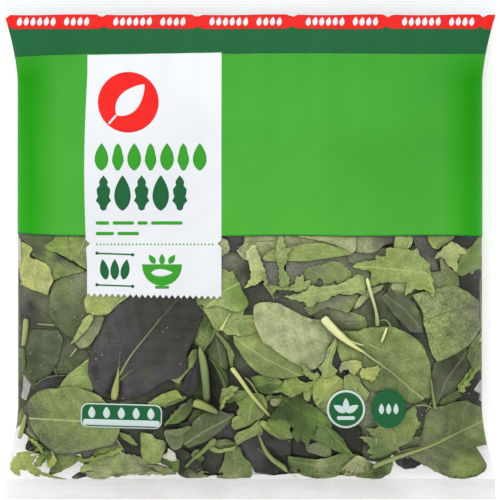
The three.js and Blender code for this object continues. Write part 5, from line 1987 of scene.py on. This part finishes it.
storeNames = {"oval": "ovalLeaves", "round": "roundLeaves", "blade": "bladeLeaves",
              "rocket": "rocketLeaves", "mizuna": "mizunaLeaves", "frill": "frillLeaves",
              "shred": "leafShreds"}
stores = {name: newStore() for name in (*storeNames.values(), "stalks", "innerLeaves", "backLeaves")}
draw = np.random.default_rng(5)
for row in frontStalks.split("\n\n"):
    tones, line, radii = row.split(";")
    layStalk(stores["stalks"], tones.split(), pairs(line), [float(word) for word in radii.split()])
for tones, line, reach, pitch in frontFronds:
    line = np.array(line, float).reshape(-1, 2)
    edge = frondOutline(draw, evenly(line, 60), reach, pitch)
    layLeaf(stores["leafShreds"], draw, tones.split(), 0.6, line, edge)
for row in frontLeaves.split("\n\n"):
    head, rib, outline, spots = row.split(";")
    kind, *tones, veins = head.split()
    rib, outline = [np.cumsum(pairs(line), axis=0) / 2 for line in (rib, outline)]
    layLeaf(stores[storeNames[kind]], draw, tones, float(veins), rib, outline, spots.split(),
            teeth=leafTeeth.get(kind))
print("leaves: window")


def insideCorner(x, y):  # a superellipse that leaves the two foot corners free
    down = np.clip((fillLeaves["cornerFrom"] - y) / fillLeaves["cornerRun"], 0, 2)
    aside = np.abs(x) / fillLeaves["cornerAcross"]
    return aside ** fillLeaves["cornerPower"] + down ** fillLeaves["cornerPower"] < 1


def looseOutline(fill, length, width, turn):
    # an egg shape whose edge waves by three sines, turned about its middle
    angle = np.linspace(0, 2 * np.pi, 40, endpoint=False)
    finest = (fillLeaves["finestWaves"], fill.uniform(*fillLeaves["finestHeight"]))
    rough = 1 + sum(size * np.sin(n * angle + 6.3 * fill.random())
                    for n, size in (*fillLeaves["edgeWaves"], finest))
    along = length / 2 * np.cos(angle) * rough
    across = width / 2 * np.sin(angle) * (1 - 0.25 * np.cos(angle)) * rough
    edge = np.stack([along, across], axis=-1)
    rib = np.array([[-length * 0.48, 0], [0, length * fill.uniform(-0.06, 0.06)], [length * 0.45, 0]])
    spin = np.array([[math.cos(turn), math.sin(turn)], [-math.sin(turn), math.cos(turn)]])
    return edge @ spin, rib @ spin


def layFill():
    # random leaves round the whole tube, below those of the window
    fill = np.random.default_rng(fillLeaves["seed"])
    laid = 0
    while laid < fillLeaves["count"]:
        onBack = fill.random() < fillLeaves["backShare"]
        t = fill.uniform(1.02, 1.98) if onBack else fill.uniform(-0.06, 1.06)
        y = fill.uniform(fillLeaves["to"], fillLeaves["from"])
        place = filmPoint(t, y)
        length = fill.uniform(*fillLeaves["length"])
        width = length * fill.uniform(*fillLeaves["slender"])
        edge, rib = looseOutline(fill, length, width, fill.uniform(0, 2 * np.pi))
        tone = fillLeaves["tones"][fill.integers(len(fillLeaves["tones"]))]
        wish = fill.uniform(*fillLeaves["wish"])
        if not insideCorner(place[0], y - 6):
            continue
        store = stores["backLeaves" if onBack else "innerLeaves"]
        layLeaf(store, fill, (tone, tone), fillLeaves["veins"], rib, edge, wish=wish, ring=(t, y),
                step=fillLeaves["step"])
        laid += 1


layFill()
print("leaves: fill,", fillLeaves["count"])

heapCore = {
    "depth": 8,
    "roomShare": 1.4,
    "from": 26,
    "to": -128,
    "endPower": 3.4,
    "rows": 48,
    "columns": 140,
}


def makeCore():
    # the tube's own form, pressed in along its normals and drawn together at both ends by a
    # superellipse
    form = heapCore
    middle, run = (form["from"] + form["to"]) / 2, (form["from"] - form["to"]) / 2
    steepest = np.pi / 2 - 0.02
    angle = np.linspace(-steepest, steepest, form["rows"])[:, None]
    y = middle + run * np.sin(angle)
    t = np.linspace(0, 2, form["columns"], endpoint=False)[None, :]
    shrink = (1 - np.abs(np.sin(angle)) ** form["endPower"]) ** 0.5
    place, normal = filmFrame(t, y)
    depth = np.minimum(form["depth"], roomAt(*np.broadcast_arrays(t, y)) * form["roomShare"])
    sunk = place - normal * depth[..., None]
    level = (frontHeight(0 * y, y) + backHeight(0 * y, y)) / 2
    centre = np.stack(np.broadcast_arrays(0.0, y, level), axis=-1)
    sunk = centre + (sunk - centre) * shrink[..., None]
    sunk[..., 1] = y
    store = newStore()
    columns = form["columns"]
    caps = [list(reversed(range(columns))), [(form["rows"] - 1) * columns + k for k in range(columns)]]
    addFaces(store, sunk, gridQuads(form["rows"], columns, wrap=True), caps)
    return makePiece("heapCore", store, coreMaterial())


makeCore()
paleStalk = stalkMaterial("paleStalk")
greenLeaf = leafMaterial("greenLeaf")
redLeaf = leafMaterial("darkRoundLeaf")
for name, store in stores.items():
    material = {"stalks": paleStalk, "roundLeaves": redLeaf}.get(name, greenLeaf)
    piece = makePiece(name, store, material)
    print(name, sum(len(face.vertices) - 2 for face in piece.data.polygons), "triangles")

# Floor, light and camera

stageForm = {
    "floorSize": 4.0,
    "floorDown": 0.0005,  # metres below the bag
    "floorColour": (0.9, 0.9, 0.9),
    "floorRoughness": 0.9,
    "floorGlow": 0.35,
    "world": 0.92,
    "keySize": 1.4,
    "keyPower": 16,
    "keyAt": (-0.45, 0.9, 1.8),
    "lens": 1000,
    "sensor": 36,
    "farthest": 100,
    "viewWidth": 305.2,  # millimetres across the picture, at the height of the view plane
    "viewPlane": 24,
    "aimY": -0.2,
}


def makeStage():
    # a pale floor, an even pale world and one soft lamp turned to the bag
    form = stageForm
    size, down = form["floorSize"] / 2, -form["floorDown"]
    corners = [(-size, -size, down), (size, -size, down), (size, size, down), (-size, size, down)]
    mesh = bpy.data.meshes.new("floor")
    mesh.from_pydata(corners, [], [(0, 1, 2, 3)])
    floor = bpy.data.objects.new("floor", mesh)
    bpy.context.scene.collection.objects.link(floor)
    material = newMaterial("paleFloor", {
        "Base Color": form["floorColour"], "Roughness": form["floorRoughness"],
        "Emission Color": (1.0, 1.0, 1.0), "Emission Strength": form["floorGlow"]})[0]
    mesh.materials.append(material)
    world = bpy.data.worlds.new("studio")
    world.use_nodes = True
    world.node_tree.nodes["Background"].inputs["Color"].default_value = (1, 1, 1, 1)
    world.node_tree.nodes["Background"].inputs["Strength"].default_value = form["world"]
    bpy.context.scene.world = world
    lamp = bpy.data.lights.new("softKey", "AREA")
    lamp.shape = "SQUARE"
    lamp.size = form["keySize"]
    lamp.energy = form["keyPower"]
    key = bpy.data.objects.new("softKey", lamp)
    key.location = form["keyAt"]
    x, y, z = form["keyAt"]
    key.rotation_euler = (math.atan2(math.hypot(x, y), z), 0, math.atan2(y, x) + math.pi / 2)
    bpy.context.scene.collection.objects.link(key)
    bpy.context.scene.view_settings.view_transform = "Standard"


def makeCamera():
    # straight above the bag, so far off that it draws almost without perspective
    form = stageForm
    lens = bpy.data.cameras.new("camera")
    lens.lens = form["lens"]
    lens.sensor_width = form["sensor"]
    lens.clip_end = form["farthest"]
    distance = form["viewWidth"] * mm * form["lens"] / form["sensor"]
    camera = bpy.data.objects.new("camera", lens)
    camera.location = (0, form["aimY"] * mm, form["viewPlane"] * mm + distance)
    bpy.context.scene.collection.objects.link(camera)
    bpy.context.scene.camera = camera


makeStage()
makeCamera()
print("stage, light and camera")
